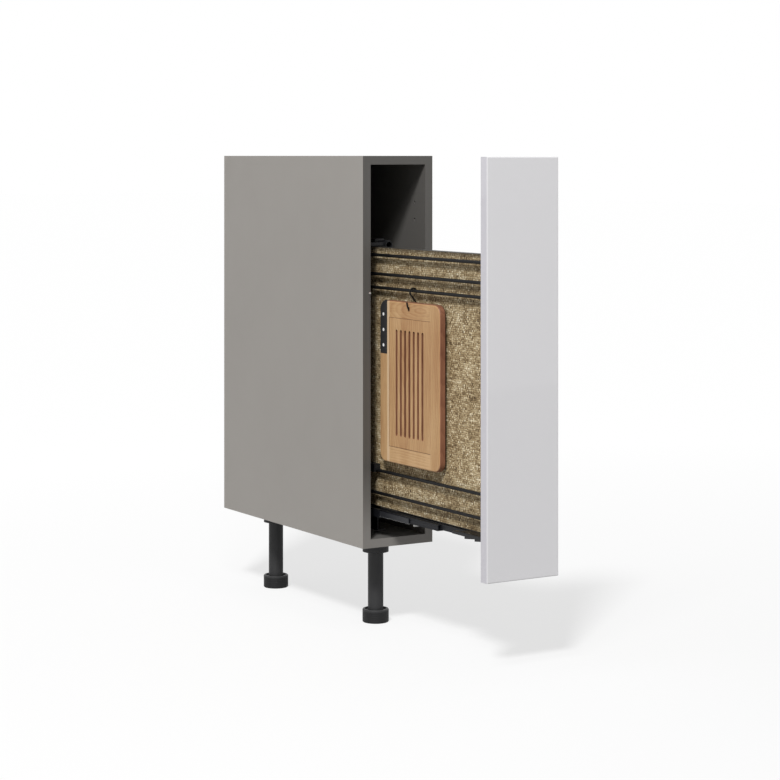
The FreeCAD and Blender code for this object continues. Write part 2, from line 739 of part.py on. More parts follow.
# The lower cage's open nose hangs under the runner, in front of the outer member.
nose_low = lower_cage_z - s.nose_drop
nose_roof = lower_cage_z + s.cage_t
nose_step = nose_low + s.nose_wall
nose_left = x(s.panel_left)
nose_right = nose_left + s.nose_width
tooth_left = nose_left + (s.nose_width - s.nose_wall) / 2
tooth_right = tooth_left + s.nose_wall
nose = sketch(lower_cage, "XZ", y(lower_cage_front))
polygon(nose, [
    (nose_left, nose_low), (nose_right, nose_low), (nose_right, nose_step),
    (tooth_right, nose_step), (tooth_right, nose_step + s.nose_wall),
    (tooth_left, nose_step + s.nose_wall), (tooth_left, nose_step),
    (nose_left + s.nose_wall, nose_step), (nose_left + s.nose_wall, nose_roof),
    (nose_left, nose_roof),
])
pad(nose, s.nose_t)


def ball(across, depth):
    sphere = doc.addObject("Part::Sphere", "ball")
    bind(sphere, "Radius", s.ball_d / 2)
    for axis, size in zip("xyz", (across, y(depth), race_z)):
        bind(sphere, "Placement.Base." + axis, size)
    return sphere


def ball_pairs(reach, rows):
    return [ball(x(runner_x) + reach * side, depth) for side in (-1, 1) for depth in rows]


node(group(ball_pairs(lower_ball_x, lower_balls)), "balls_lower")
node(group(ball_pairs(upper_ball_x, upper_balls)), "balls_upper")

# ---------------------------------------------------------------- upper guide
guide_x = panel_right + s.guide_gap + s.guide_d / 2
guide_r = s.guide_d / 2
guide_bore_r = guide_r + s.running_play
guide_start = (x(guide_x), y(guide_rows[0] - s.guide_end), guide_z)
guide_length = guide_rows[1] - guide_rows[0] + s.bracket_width + s.guide_end * 2
guide_bore = rod("y", guide_start, guide_length, guide_r - s.guide_wall)
node(cut(rod("y", guide_start, guide_length, guide_r), [guide_bore]), "guide_tube")


def guide_bracket(label, start):
    """A wall plate with an arm that reaches over the panel and a ring that holds the tube."""
    body = new_body(label)
    drawing = sketch(body, "XZ", y(start))
    plate_half = s.bracket_plate_h / 2
    arm_low = panel_top + s.closed_gap
    arm_high = arm_low + s.arm_h
    plate_x = s.board_t + s.bracket_plate_t
    polygon(drawing, [
        (x(s.board_t), guide_z - plate_half), (x(plate_x), guide_z - plate_half),
        (x(plate_x), arm_low), (x(guide_x), arm_low), (x(guide_x), arm_high), (x(plate_x), arm_high),
        (x(plate_x), guide_z + plate_half), (x(s.board_t), guide_z + plate_half),
    ])
    pad(drawing, s.bracket_width)
    ring = sketch(body, "XZ", y(start))
    circle(ring, x(guide_x), guide_z, guide_r + s.guide_gap - s.rest_gap)
    pad(ring, s.bracket_width)
    bore = sketch(body, "XZ", y(start))
    circle(bore, x(guide_x), guide_z, guide_bore_r)
    pocket(bore, s.bracket_width)
    holes = sketch(body, "YZ", x(s.board_t))
    for level in guide_screw_levels:
        circle(holes, y(start + s.bracket_width / 2), level, screw_bore_r)
    pocket(holes, s.bracket_plate_t)


guide_bracket("guide_bracket_front", guide_rows[0])
guide_bracket("guide_bracket_rear", guide_rows[1])
node(group([screw("x", seat, -1) for seat in guide_seats]), "guide_screws")

# ---------------------------------------------------------------- the front
door_x = (x(s.door_side_gap), x(s.carcass_width - s.door_side_gap))
door_z = (s.leg_height + s.door_lift, carcass_top - s.door_top_gap)
angle_rows = {
    "lower": panel_bottom + s.saddle_h + s.angle_gap,
    "upper": panel_top - s.angle_high_down,
}
angle_side = panel_right + s.angle_t
door_seats = []
panel_seats = []
for low in angle_rows.values():
    for share in (1, 3):
        level = low + s.angle_h * share / 4
        door_seats.append((x(angle_side + s.angle_leg / 2), door_back + s.angle_t, level))
        panel_seats.append((x(angle_side), door_back + s.angle_leg / 2, level))

door = new_body("door_front")
door_drawing = sketch(door, "XZ", door_back - s.door_t)
rectangle(door_drawing, door_x, door_z)
pad(door_drawing, s.door_t)
door_bores = sketch(door, "XZ", door_back + s.angle_t - s.screw_length - s.fit_play)
for seat in door_seats:
    circle(door_bores, seat[0], seat[2], screw_bore_r)
pocket(door_bores, s.screw_length - s.angle_t + s.fit_play)
door_front_y = door_back - s.door_t
soften(door, "Fillet", s.door_round,
       lambda middle, way, edge: near(middle.y, door_front_y) and way.Length > 1)


def angle_bracket(label, low):
    """A folded angle: one leg on the panel's right face, the other on the back of the front."""
    body = new_body(label)
    drawing = sketch(body, "XY", low)
    polygon(drawing, [
        (x(panel_right), door_back), (x(angle_side + s.angle_leg), door_back),
        (x(angle_side + s.angle_leg), door_back + s.angle_t), (x(angle_side), door_back + s.angle_t),
        (x(angle_side), door_back + s.angle_leg), (x(panel_right), door_back + s.angle_leg),
    ])
    pad(drawing, s.angle_h)
    levels = [low + s.angle_h * share / 4 for share in (1, 3)]
    door_holes = sketch(body, "XZ", door_back)
    panel_holes = sketch(body, "YZ", x(panel_right))
    for level in levels:
        circle(door_holes, x(angle_side + s.angle_leg / 2), level, screw_bore_r)
        circle(panel_holes, door_back + s.angle_leg / 2, level, screw_bore_r)
    pocket(door_holes, s.angle_t)
    pocket(panel_holes, s.angle_t)


for end, low in angle_rows.items():
    angle_bracket("door_bracket_" + end, low)
node(group([screw("y", seat, -1) for seat in door_seats]), "door_screws")

# ---------------------------------------------------------------- saddles and coupler
coupler_left = runner_x - outer_half - s.coupler_gap - s.coupler_width
inner_end = inner_front + s.runner_length
saddles = {
    "front": (inner_front + s.saddle_inset, s.saddle_front_length, coupler_left),
    "rear": (inner_end - s.saddle_rear_length, s.saddle_rear_length, runner_x - inner_half),
}
wing_x = panel_right + s.saddle_wing_t
saddle_rivet_places = []
coupler_rivet_places = []
for start, length, left in saddles.values():
    for share in (1, 3):
        depth = start + length * share / 4
        panel_seats.append((x(wing_x), y(depth), panel_bottom + s.saddle_h * 2 / 3))
        saddle_rivet_places.append((x(runner_x), y(depth)))
        if left is coupler_left:
            coupler_rivet_places.append((x(left + s.coupler_width / 2), y(depth)))


def saddle(label, start, length, left):
    """A folded plate: its base sits on the runner, its wing stands against the panel."""
    body = new_body(label)
    low = runner_top * 1
    drawing = sketch(body, "XZ", y(start))
    polygon(drawing, [
        (x(left), low), (x(wing_x), low), (x(wing_x), panel_bottom + s.saddle_h),
        (x(panel_right), panel_bottom + s.saddle_h), (x(panel_right), panel_bottom),
        (x(left), panel_bottom),
    ])
    pad(drawing, length)
    wing_holes = sketch(body, "YZ", x(panel_right))
    base_holes = sketch(body, "XY", low)
    for share in (1, 3):
        depth = y(start + length * share / 4)
        circle(wing_holes, depth, panel_bottom + s.saddle_h * 2 / 3, screw_bore_r)
        circle(base_holes, x(runner_x), depth, s.rivet_d / 2 + s.running_play)
        if left is coupler_left:
            circle(base_holes, x(left + s.coupler_width / 2), depth, s.rivet_d / 2 + s.running_play)
    pocket(wing_holes, s.saddle_wing_t)
    pocket(base_holes, s.saddle_t)


for end, (start, length, left) in saddles.items():
    saddle("saddle_" + end, start, length, left)

# The runner's inner member is holed for the saddle rivets.
inner_holes = sketch(inner_member, "XY", runner_top - s.steel_t)
for across, along in saddle_rivet_places:
    circle(inner_holes, across, along, s.rivet_d / 2 + s.running_play)
pocket(inner_holes, s.steel_t)


def flush_rivet(across, along, low):
    """A rivet flush with the saddle's top, headed under the sheet below at z low."""
    shank = rod("z", (across, along, low), panel_bottom - low, s.rivet_d / 2)
    head = rod("z", (across, along, low - s.rivet_head_h), s.rivet_head_h, s.rivet_head_d / 2)
    return group([shank, head], "Part::MultiFuse")


# Side view of the coupler: a finger lever, then teeth that drop and rise towards the front.
coupler_top = runner_top * 1
coupler_front = inner_front + s.saddle_inset
lever_end = coupler_front + s.coupler_length
tooth_low = coupler_top - s.coupler_body_h
coupler = new_body("front_coupler")
coupler_drawing = sketch(coupler, "YZ", x(coupler_left))
coupler_points = [
    (y(lever_end), coupler_top), (y(lever_end), coupler_top - s.lever_h),
    (y(coupler_front + s.coupler_teeth), coupler_top - s.lever_h),
]
for index in range(3):
    step = coupler_front + s.coupler_teeth - s.tooth_pitch * index
    coupler_points.append((y(step), tooth_low))
    if index < 2:
        coupler_points.append((y(step - s.tooth_pitch), tooth_low + s.tooth_drop))
coupler_points.append((y(coupler_front), tooth_low + s.tooth_drop / 2))
coupler_points.append((y(coupler_front), coupler_top))
polygon(coupler_drawing, coupler_points)
pad(coupler_drawing, s.coupler_width)
coupler_holes = sketch(coupler, "XY", tooth_low)
for across, along in coupler_rivet_places:
    circle(coupler_holes, across, along, s.rivet_d / 2 + s.running_play)
pocket(coupler_holes, s.coupler_body_h)
coupler_wells = sketch(coupler, "XY", tooth_low)
for across, along in coupler_rivet_places:
    circle(coupler_wells, across, along, s.rivet_head_d / 2 + s.running_play)
pocket(coupler_wells, s.coupler_body_h / 2)

flush_rivets = [flush_rivet(across, along, runner_top - s.steel_t) for across, along in saddle_rivet_places]
for across, along in coupler_rivet_places:
    flush_rivets.append(flush_rivet(across, along, coupler_top - s.coupler_body_h / 2))
node(group(flush_rivets), "saddle_rivets")

# ---------------------------------------------------------------- guide shoe
shoe_half = guide_r + s.shoe_wall
shoe_seat_x = panel_right + s.shoe_wall
shoe_low = guide_z - shoe_half * 3
shoe_screw_z = shoe_low + s.head_d
shoe_screw_rows = [shoe_start + s.shoe_length * share / 4 for share in (1, 3)]
shoe = new_body("guide_shoe")
shoe_drawing = sketch(shoe, "XZ", y(shoe_start))
polygon(shoe_drawing, [
    (x(panel_right), shoe_low), (x(shoe_seat_x), shoe_low), (x(shoe_seat_x), guide_z - shoe_half),
    (x(guide_x + shoe_half), guide_z - shoe_half), (x(guide_x + shoe_half), guide_z + shoe_half),
    (x(panel_right), guide_z + shoe_half),
])
pad(shoe_drawing, s.shoe_length)
shoe_bore = sketch(shoe, "XZ", y(shoe_start))
circle(shoe_bore, x(guide_x), guide_z, guide_bore_r)
pocket(shoe_bore, s.shoe_length)
shoe_holes = sketch(shoe, "YZ", x(panel_right))
for depth in shoe_screw_rows:
    circle(shoe_holes, y(depth), shoe_screw_z, screw_bore_r)
    panel_seats.append((x(shoe_seat_x), y(depth), shoe_screw_z))
pocket(shoe_holes, s.shoe_wall)
node(group([screw("x", seat, -1) for seat in panel_seats]), "panel_screws")

# ---------------------------------------------------------------- panel
rail_levels = {
    1: panel_top - s.rail_1_down, 2: panel_top - s.rail_2_down, 3: panel_top - s.rail_3_down,
    4: panel_bottom + s.rail_4_up, 5: panel_bottom + s.rail_5_up,
}
rail_x = s.panel_left - s.rail_gap - s.rail_d / 2
rail_ends = (-s.pulled_out + s.rail_front_gap, panel_rear - s.rail_rear_gap)
post_rows = (rail_ends[0] + s.post_inset, rail_ends[1] - s.post_inset)
post_pins = []
for level in rail_levels.values():
    for depth in post_rows:
        post_pins.append((depth, level))


def pin_bores(start, length):
    radius = s.post_d / 2 + s.running_play
    return [rod("x", (x(start), y(depth), level), length, radius) for depth, level in post_pins]


core_x = (x(s.panel_left + s.skin_t), x(panel_right - s.skin_t))
edge = s.edging_t
core_y = (y(panel_front + edge), y(panel_rear - edge))
core_z = (panel_bottom + edge, panel_top - edge)
core_screws = [screw_bore("x", seat, -1) for seat in panel_seats]
node(cut(box(core_x, core_y, core_z),
         pin_bores(s.panel_left, s.post_in_panel + s.fit_play) + core_screws), "panel_core")
node(cut(box((x(s.panel_left), core_x[0]), core_y, core_z), pin_bores(s.panel_left, s.skin_t)),
     "decor_skin_left")
right_screws = [screw_bore("x", seat, -1) for seat in panel_seats]
node(cut(box((core_x[1], x(panel_right)), core_y, core_z), right_screws), "decor_skin_right")

panel_x = (x(s.panel_left), x(panel_right))
edging_outer = box(panel_x, (y(panel_front), y(panel_rear)), (panel_bottom, panel_top))
node(cut(edging_outer, [box(panel_x, core_y, core_z)]), "panel_edging")

# ---------------------------------------------------------------- rails
pin_start = rail_x + s.rail_d / 2 - s.post_in_rail


def pin(depth, level):
    """A stand-off: a thin pin from the rail into the panel, with a collar between them."""
    pin_length = s.panel_left + s.post_in_panel - pin_start
    shaft = rod("x", (x(pin_start), y(depth), level), pin_length, s.post_d / 2)
    collar_start = rail_x + s.rail_d / 2 + s.fit_play
    collar_length = s.panel_left - collar_start
    collar = rod("x", (x(collar_start), y(depth), level), collar_length, s.collar_d / 2)
    return group([shaft, collar], "Part::MultiFuse")


for number, level in rail_levels.items():
    bar = rod("y", (x(rail_x), y(rail_ends[0]), level), rail_ends[1] - rail_ends[0], s.rail_d / 2)
    sockets = []
    for depth in post_rows:
        sockets.append(rod("x", (x(pin_start) - s.running_play, y(depth), level), s.rail_d,
                           s.post_d / 2 + s.running_play))
    node(cut(bar, sockets), "rail_%d" % number)
node(group([pin(depth, level) for depth, level in post_pins]), "rail_posts")

# A clamped block on the fourth rail, just inside the carcass.
block_end = panel_rear - s.stop_block_to_rear
block_y = (y(block_end - s.stop_block_length), y(block_end))
block_x = (x(rail_x - s.stop_block_t / 2), x(s.panel_left - s.rest_gap))
block_low = rail_levels[4] - s.rail_d / 2 - s.stop_block_under
block_bore = rod("y", (x(rail_x), block_y[0], rail_levels[4]), s.stop_block_length,
                 s.rail_d / 2 + s.running_play)
block = box(block_x, block_y, (block_low, block_low + s.stop_block_h))
node(cut(block, [block_bore]), "rail_stop_block")

# ---------------------------------------------------------------- S-hook
# The wire runs over the rail, down and back behind the board, round through the board's slot
# and up to its tip in front of the board.
wire_r = s.wire_d / 2
bread_half = s.bread_t / 2
bread_top = rail_levels[3] - s.bread_below_rail
hook_top_r = s.rail_d / 2 + s.hook_rail_gap + wire_r
hook_low_r = bread_half + s.hook_board_gap + wire_r
hook_low_x = s.panel_left - s.rest_gap - wire_r - hook_low_r
bread_front = hook_low_x + s.hook_off_middle - bread_half
bread_back = bread_front + s.bread_t
hook_x = (rail_x - s.hook_off_rail, hook_low_x)
hook_y = -s.pulled_out + s.hook_to_door
hook_top_z = rail_levels[3] + s.rail_d / 2 + s.rest_gap - hook_top_r + wire_r
hook_low_z = bread_top - s.hook_below_top


def hook_guess():
    """A first guess of where the straight shank touches the two arcs, as angles."""
    across = number_of(hook_x[1]) - number_of(hook_x[0])
    down = number_of(hook_low_z) - number_of(hook_top_z)
    reach = number_of(hook_top_r) + number_of(hook_low_r)
    lean = math.acos(reach / math.hypot(across, down))
    leave = math.atan2(down, across) - lean
    return leave + 2 * math.pi, leave + math.pi


def hook_spine(drawing):
    """Upper arc, shank, lower arc and tip, each touching the next without a corner."""
    leave, land = hook_guess()
    upward = FreeCAD.Vector(0, 0, 1)
    centres = []
    for across, up in ((hook_x[0], hook_top_z), (hook_x[1], hook_low_z)):
        centres.append(FreeCAD.Vector(number_of(x(across)), number_of(up), 0))
    top_r = number_of(hook_top_r)
    low_r = number_of(hook_low_r)
    tip = (x(bread_front - s.hook_tip_out), bread_top + s.hook_tip_over)
    spots = []
    for centre, radius, angle in ((centres[0], top_r, leave), (centres[1], low_r, land),
                                  (centres[1], low_r, math.pi)):
        spots.append(centre + FreeCAD.Vector(radius * math.cos(angle), radius * math.sin(angle), 0))
    drawing.addGeometry([
        Part.ArcOfCircle(Part.Circle(centres[0], upward, top_r), 0, leave),
        Part.LineSegment(spots[0], spots[1]),
        Part.ArcOfCircle(Part.Circle(centres[1], upward, low_r), math.pi, land + 2 * math.pi),
        Part.LineSegment(spots[2], FreeCAD.Vector(number_of(tip[0]), number_of(tip[1]), 0)),
    ], False)
    rules = point_rules(0, 3, x(hook_x[0]), hook_top_z) + point_rules(2, 3, x(hook_x[1]), hook_low_z)
    rules += [
        (Sketcher.Constraint("Radius", 0, top_r), hook_top_r),
        (Sketcher.Constraint("Radius", 2, low_r), hook_low_r),
        (Sketcher.Constraint("Horizontal", 0, 3, 0, 1), None),
        (Sketcher.Constraint("Tangent", 0, 2, 1, 1), None),
        (Sketcher.Constraint("Tangent", 1, 2, 2, 2), None),
        (Sketcher.Constraint("Tangent", 2, 1, 3, 1), None),
    ]
    rules += point_rules(3, 2, tip[0], tip[1])
    constrain(drawing, rules)


hook = new_body("s_hook")
spine = sketch(hook, "XZ", y(hook_y))
hook_spine(spine)
wire = sketch(hook, "XY", hook_top_z)
circle(wire, x(hook_x[0] + hook_top_r), y(hook_y), wire_r)
bent_wire = hook.newObject("PartDesign::AdditivePipe", "bent_wire")
bent_wire.Profile = wire
bent_wire.Spine = (spine, ["Edge1", "Edge2", "Edge3", "Edge4"])
soften(hook, "Fillet", s.hook_end_round,
       lambda middle, way, edge: way.Length < 1e-6 and near(edge.Length, wire_r * 2 * math.pi)
       and isinstance(edge.Curve, Part.Circle))

# ---------------------------------------------------------------- bread board
bread_rear = hook_y + s.bread_behind_hook
bread_x = (x(bread_front), x(bread_back))
bread_y = (y(bread_rear - s.bread_width), y(bread_rear))
bread_z = (rail_levels[4] + s.bread_over_rail, bread_top * 1)
handle_low = bread_top - s.handle_length
handle_front = bread_rear - s.handle_width
grid_y = (bread_y[0] + s.grid_front_inset, bread_y[1] - s.grid_rear_inset)
grid_z = (bread_z[0] + s.grid_bottom_inset, bread_top - s.grid_top_inset)
blade_mid = bread_x[0] + bread_half
blade_y = (y(handle_front + s.blade_inset), bread_y[1] - s.blade_inset)
blade_low = bread_z[0] + s.blade_end

board = new_body("board_frame")
outline = sketch(board, "YZ", bread_x[0])
rectangle(outline, bread_y, bread_z)
pad(outline, s.bread_t)
soften(board, "Fillet", s.bread_corner_r, lambda middle, way, edge: runs_along(way, "x"))
soften(board, "Fillet", s.bread_edge_r,
       lambda middle, way, edge: near(middle.x, bread_x[0]) or near(middle.x, bread_x[1]))
notch = sketch(board, "YZ", bread_x[0])
rectangle(notch, (y(handle_front - s.knife_play), bread_y[1] + 1), (handle_low, bread_z[1] + 1))
pocket(notch, s.bread_t)
recess = sketch(board, "YZ", bread_x[0])
rectangle(recess, grid_y, grid_z)
pocket(recess, s.grid_t + s.grid_play)
crumbs = sketch(board, "YZ", bread_x[0])
rectangle(crumbs, (grid_y[0] + s.ledge, grid_y[1] - s.ledge), (grid_z[0] + s.ledge, grid_z[1] - s.ledge))
pocket(crumbs, s.grid_t + s.grid_play + s.crumb_room)
# The slot's rear edge rests on the inside of the hook's lower arc.
seat_reach = bread_back - hook_low_x
seat_r = hook_low_r - wire_r
slot_top = hook_low_z - (seat_r * seat_r - seat_reach * seat_reach).root() + s.rest_gap
slot_low = hook_low_z - hook_low_r - wire_r - s.rest_gap
hanging = sketch(board, "YZ", bread_x[0])
stadium(hanging, y(hook_y), (slot_low, slot_top), s.slot_width)
pocket(hanging, s.bread_t)
sheath = sketch(board, "XY", blade_low - s.rest_gap)
rectangle(sheath, (blade_mid - s.blade_t / 2 - s.knife_play, blade_mid + s.blade_t / 2 + s.knife_play),
          (blade_y[0] - s.knife_play, blade_y[1] + s.knife_play))
pocket(sheath, handle_low - blade_low + s.rest_gap)

# The crumb grid drops into the board's recess.
play = s.grid_play
grid = new_body("crumb_grid")
grid_drawing = sketch(grid, "YZ", bread_x[0])
rectangle(grid_drawing, (grid_y[0] + play, grid_y[1] - play), (grid_z[0] + play, grid_z[1] - play))
pad(grid_drawing, s.grid_t)
soften(grid, "Chamfer", s.grid_edge, lambda middle, way, edge: near(middle.x, bread_x[0]))
slit_row = grid_y[1] - grid_y[0] - s.grid_slot_side * 2
slit = sketch(grid, "YZ", bread_x[0])
stadium(slit, grid_y[0] + s.grid_slot_side, (grid_z[0] + s.grid_slot_end, grid_z[1] - s.grid_slot_end),
        s.grid_slot_width)
first_slit = pocket(slit, s.grid_t)
row(grid, first_slit, "Y", slit_row, s.grid_slot_count)

# ---------------------------------------------------------------- knife
knife_low = handle_low + s.rest_gap
rivet_step = (s.handle_length - s.rivet_first - s.rivet_last) / 2
rivet_spots = [bread_top - s.rivet_first - rivet_step * index for index in range(3)]
rivet_y = y(handle_front + s.handle_width / 2)
tang_y = (y(handle_front + s.handle_width / 4), bread_y[1] - s.handle_width / 4)
tang_top = bread_top - s.bread_corner_r
blade_width = s.handle_width - s.blade_inset * 2
blade = new_body("knife_blade")
blade_drawing = sketch(blade, "YZ", blade_mid - s.blade_t / 2)
polygon(blade_drawing, [
    (blade_y[0], knife_low), (blade_y[0], blade_low + blade_width),
    (blade_y[1] - blade_width / 4, blade_low), (blade_y[1], blade_low), (blade_y[1], knife_low),
    (tang_y[1], knife_low), (tang_y[1], tang_top), (tang_y[0], tang_top), (tang_y[0], knife_low),
])
pad(blade_drawing, s.blade_t)
blade_holes = sketch(blade, "YZ", blade_mid - s.blade_t / 2)
for level in rivet_spots:
    circle(blade_holes, rivet_y, level, s.rivet_r + s.running_play)
pocket(blade_holes, s.blade_t)

handle = new_body("knife_handle")
handle_drawing = sketch(handle, "YZ", bread_x[0])
rectangle(handle_drawing, (y(handle_front), bread_y[1]), (knife_low, bread_z[1]))
pad(handle_drawing, s.bread_t)
soften(handle, "Fillet", s.bread_corner_r,
       lambda middle, way, edge: runs_along(way, "x") and near(middle.y, bread_y[1])
       and near(middle.z, bread_z[1]))
soften(handle, "Fillet", s.bread_edge_r,
       lambda middle, way, edge: (near(middle.x, bread_x[0]) or near(middle.x, bread_x[1]))
       and not near(middle.z, knife_low) and not near(middle.y, y(handle_front)))
tang_slot = sketch(handle, "YZ", blade_mid - s.blade_t / 2 - s.running_play)
rectangle(tang_slot, (tang_y[0] - s.running_play, tang_y[1] + s.running_play),
          (knife_low, tang_top + s.running_play))
pocket(tang_slot, s.blade_t + s.running_play * 2)
handle_holes = sketch(handle, "YZ", bread_x[0])
for level in rivet_spots:
    circle(handle_holes, rivet_y, level, s.rivet_r + s.running_play)
pocket(handle_holes, s.bread_t)
knife_pins = []
for level in rivet_spots:
    start = (bread_x[0] - s.fit_play, rivet_y, level)
    knife_pins.append(rod("x", start, s.bread_t + s.fit_play * 2, s.rivet_r))
node(group(knife_pins), "knife_rivets")

# ---------------------------------------------------------------- build, check and write
doc.recompute()
for thing in doc.Objects:
    if "Invalid" in thing.State or "Error" in thing.State:
        raise RuntimeError("%s (%s) failed: %s" % (thing.Name, thing.Label, thing.State))
    if thing.TypeId == "PartDesign::Pocket":
        if thing.Shape.Volume > thing.BaseFeature.Shape.Volume - 1e-3:
            owner = thing.getParentGeoFeatureGroup().Label
            raise RuntimeError("%s cuts nothing in %s" % (thing.Name, owner))

os.makedirs("parts", exist_ok=True)
for piece in PARTS:
    shape = piece.Shape
    if shape.isNull() or not shape.isValid() or not shape.Solids:
        raise RuntimeError("%s has no sound solid" % piece.Label)
    if not re.fullmatch("[a-z0-9_]+", piece.Label):
        raise RuntimeError("%s is no node name" % piece.Label)
    shape.exportStep(os.path.join("parts", piece.Label + ".step"))
print("%d nodes, %d solids" % (len(PARTS), sum(len(piece.Shape.Solids) for piece in PARTS)))
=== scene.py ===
# %% [markdown]
# # Dressing a narrow kitchen base cabinet with a pull-out panel
# The solids of the cabinet already exist and stay fixed. This lesson gives each of them the finish
# it has in a real kitchen and sets up a plain studio round them. Everything is in metres, with the
# floor at height zero and the front facing -Y.

# %% Load the fixed solids
import math

import bmesh
import bpy
from mathutils import Matrix, Vector


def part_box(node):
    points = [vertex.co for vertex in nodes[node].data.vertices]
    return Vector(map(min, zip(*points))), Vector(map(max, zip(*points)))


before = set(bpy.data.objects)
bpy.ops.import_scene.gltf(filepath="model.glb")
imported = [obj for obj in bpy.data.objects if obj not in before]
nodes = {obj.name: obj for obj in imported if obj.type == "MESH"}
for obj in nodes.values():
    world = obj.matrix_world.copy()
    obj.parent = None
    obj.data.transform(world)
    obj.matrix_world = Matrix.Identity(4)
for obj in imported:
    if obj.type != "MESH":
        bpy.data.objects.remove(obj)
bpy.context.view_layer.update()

# %% [markdown]
# ## Camera
# A catalogue picture of a tall, narrow object is taken with a long lens held level, so that all
# upright edges stay upright. The object is then lower than the lens axis, which the camera body
# solves by sliding the lens down instead of tilting: photographers call it a falling front. Here
# it is a shear on the stand that carries the camera, so the camera's own data stay plain, and it
# works as usual when it is taken off the stand to look from other sides. The place, the turn and
# the lens length were fitted to the cabinet's known sizes.

# %% A level camera with a falling front
camera_data = bpy.data.cameras.new("catalogue_camera")
camera_data.sensor_width = 36
LENS = 102.4
FALL = 0.3002 * camera_data.sensor_width / LENS
camera_data.lens = LENS * math.hypot(1, FALL)
camera_data.clip_end = 60
camera = bpy.data.objects.new("catalogue_camera", camera_data)
bpy.context.collection.objects.link(camera)
camera.location = (-2.138, -3.577, 0.875)
camera.rotation_euler = (math.radians(90), 0, math.radians(-31.21))
stand = bpy.data.objects.new("camera_stand", None)
bpy.context.collection.objects.link(stand)
upright = Matrix.LocRotScale(camera.location, camera.rotation_euler, None)
falling_front = Matrix.Identity(4)
falling_front[1][2] = FALL
camera.parent = stand
camera.matrix_parent_inverse = upright @ falling_front @ upright.inverted()
bpy.context.scene.camera = camera
bpy.context.scene.view_settings.view_transform = "Standard"
print("camera stands", round(camera.location.length, 2), "m from the cabinet")

# %% [markdown]
# ## Small tools for building materials
# A finish on a real surface is never one flat colour, so each material below is a small net of
# nodes. Linking nodes by hand takes many lines. These helpers keep each finish short: `plug` puts
# either a number or another node's output into a socket, `plus`, `minus`, `times`, `over` and
# `calc` do sums with nodes, and the others wrap the nodes used most.


# %% Helpers that wire nodes
def plug(tree, socket, value):
    if isinstance(value, bpy.types.NodeSocket):
        tree.links.new(value, socket)
    elif value is not None:
        socket.default_value = value


def calc(tree, operation, *values):
    node = tree.nodes.new("ShaderNodeMath")
    node.operation = operation
    for socket, value in zip(node.inputs, values):
        plug(tree, socket, value)
    return node.outputs[0]


def plus(tree, first, second):
    return calc(tree, "ADD", first, second)


def minus(tree, first, second):
    return calc(tree, "SUBTRACT", first, second)


def times(tree, first, second):
    return calc(tree, "MULTIPLY", first, second)


def over(tree, first, second):
    return calc(tree, "DIVIDE", first, second)


def join_axes(tree, x, y, z):
    node = tree.nodes.new("ShaderNodeCombineXYZ")
    for socket, value in zip(node.inputs, (x, y, z)):
        plug(tree, socket, value)
    return node.outputs[0]


def split_axes(tree, vector):
    node = tree.nodes.new("ShaderNodeSeparateXYZ")
    plug(tree, node.inputs[0], vector)
    return node.outputs[0], node.outputs[1], node.outputs[2]


def noise(tree, vector, scale, detail=2.0, roughness=0.5):
    node = tree.nodes.new("ShaderNodeTexNoise")
    plug(tree, node.inputs["Vector"], vector)
    plug(tree, node.inputs["Scale"], scale)
    plug(tree, node.inputs["Detail"], detail)
    plug(tree, node.inputs["Roughness"], roughness)
    return node.outputs[0]


def spread(tree, value, from_low, from_high, to_low, to_high):
    node = tree.nodes.new("ShaderNodeMapRange")
    for socket, number in zip(node.inputs, (value, from_low, from_high, to_low, to_high)):
        plug(tree, socket, number)
    return node.outputs[0]


def blend_colours(tree, amount, first, second, mode="MIX"):
    node = tree.nodes.new("ShaderNodeMix")
    node.data_type = "RGBA"
    node.blend_type = mode
    plug(tree, node.inputs[0], amount)
    plug(tree, node.inputs[6], first)
    plug(tree, node.inputs[7], second)
    return node.outputs[2]


def shaded(tree, colour, amount):
    """A colour made darker or lighter by an amount near one."""
    return blend_colours(tree, 1.0, colour, amount, "MULTIPLY")


def colour_steps(tree, amount, steps):
    node = tree.nodes.new("ShaderNodeValToRGB")
    ramp = node.color_ramp
    while len(ramp.elements) < len(steps):
        ramp.elements.new(0.5)
    for element, (place, colour) in zip(ramp.elements, steps):
        element.position = place
        element.color = colour
    plug(tree, node.inputs[0], amount)
    return node.outputs[0]


# %% [markdown]
# ## Writing colours the way we see them
# Colours in a picture are numbers from 0 to 255 that follow the eye. Light adds up in another
# scale, the linear one, and Blender's sockets want that. `seen` converts, so that each colour
# below can be written as it looks on the product.


# %% Colours as seen
def seen(red, green, blue):
    parts = []
    for part in (red, green, blue):
        part = part / 255
        parts.append(part / 12.92 if part <= 0.04045 else ((part + 0.055) / 1.055) ** 2.4)
    return (*parts, 1.0)


print("mid grey 128 as light:", round(seen(128, 128, 128)[0], 3))

# %% [markdown]
# ## Shared effects as node groups
# Some effects belong to many materials: a faint mottling, the fibres of wood, lines left by
# rolling or brushing, an edge polished by hands. Each one is built once as a node group with named
# inputs, and every finish places it with its own values. A group gives out only masks and heights
# that change over the surface; the shader itself stays in the material.


# %% A new empty group
def new_group(title, inputs, outputs):
    group = bpy.data.node_groups.new(title, "ShaderNodeTree")
    for label, value in inputs.items():
        kind = "NodeSocketVector" if value is None else "NodeSocketFloat"
        socket = group.interface.new_socket(label, in_out="INPUT", socket_type=kind)
        if value is not None:
            socket.default_value = value
    for label in outputs:
        group.interface.new_socket(label, in_out="OUTPUT", socket_type="NodeSocketFloat")
    return (group, group.nodes.new("NodeGroupInput").outputs,
            group.nodes.new("NodeGroupOutput").inputs)


def use_group(tree, group, **values):
    node = tree.nodes.new("ShaderNodeGroup")
    node.node_tree = group
    for label, value in values.items():
        plug(tree, node.inputs[label.replace("_", " ")], value)
    return node.outputs


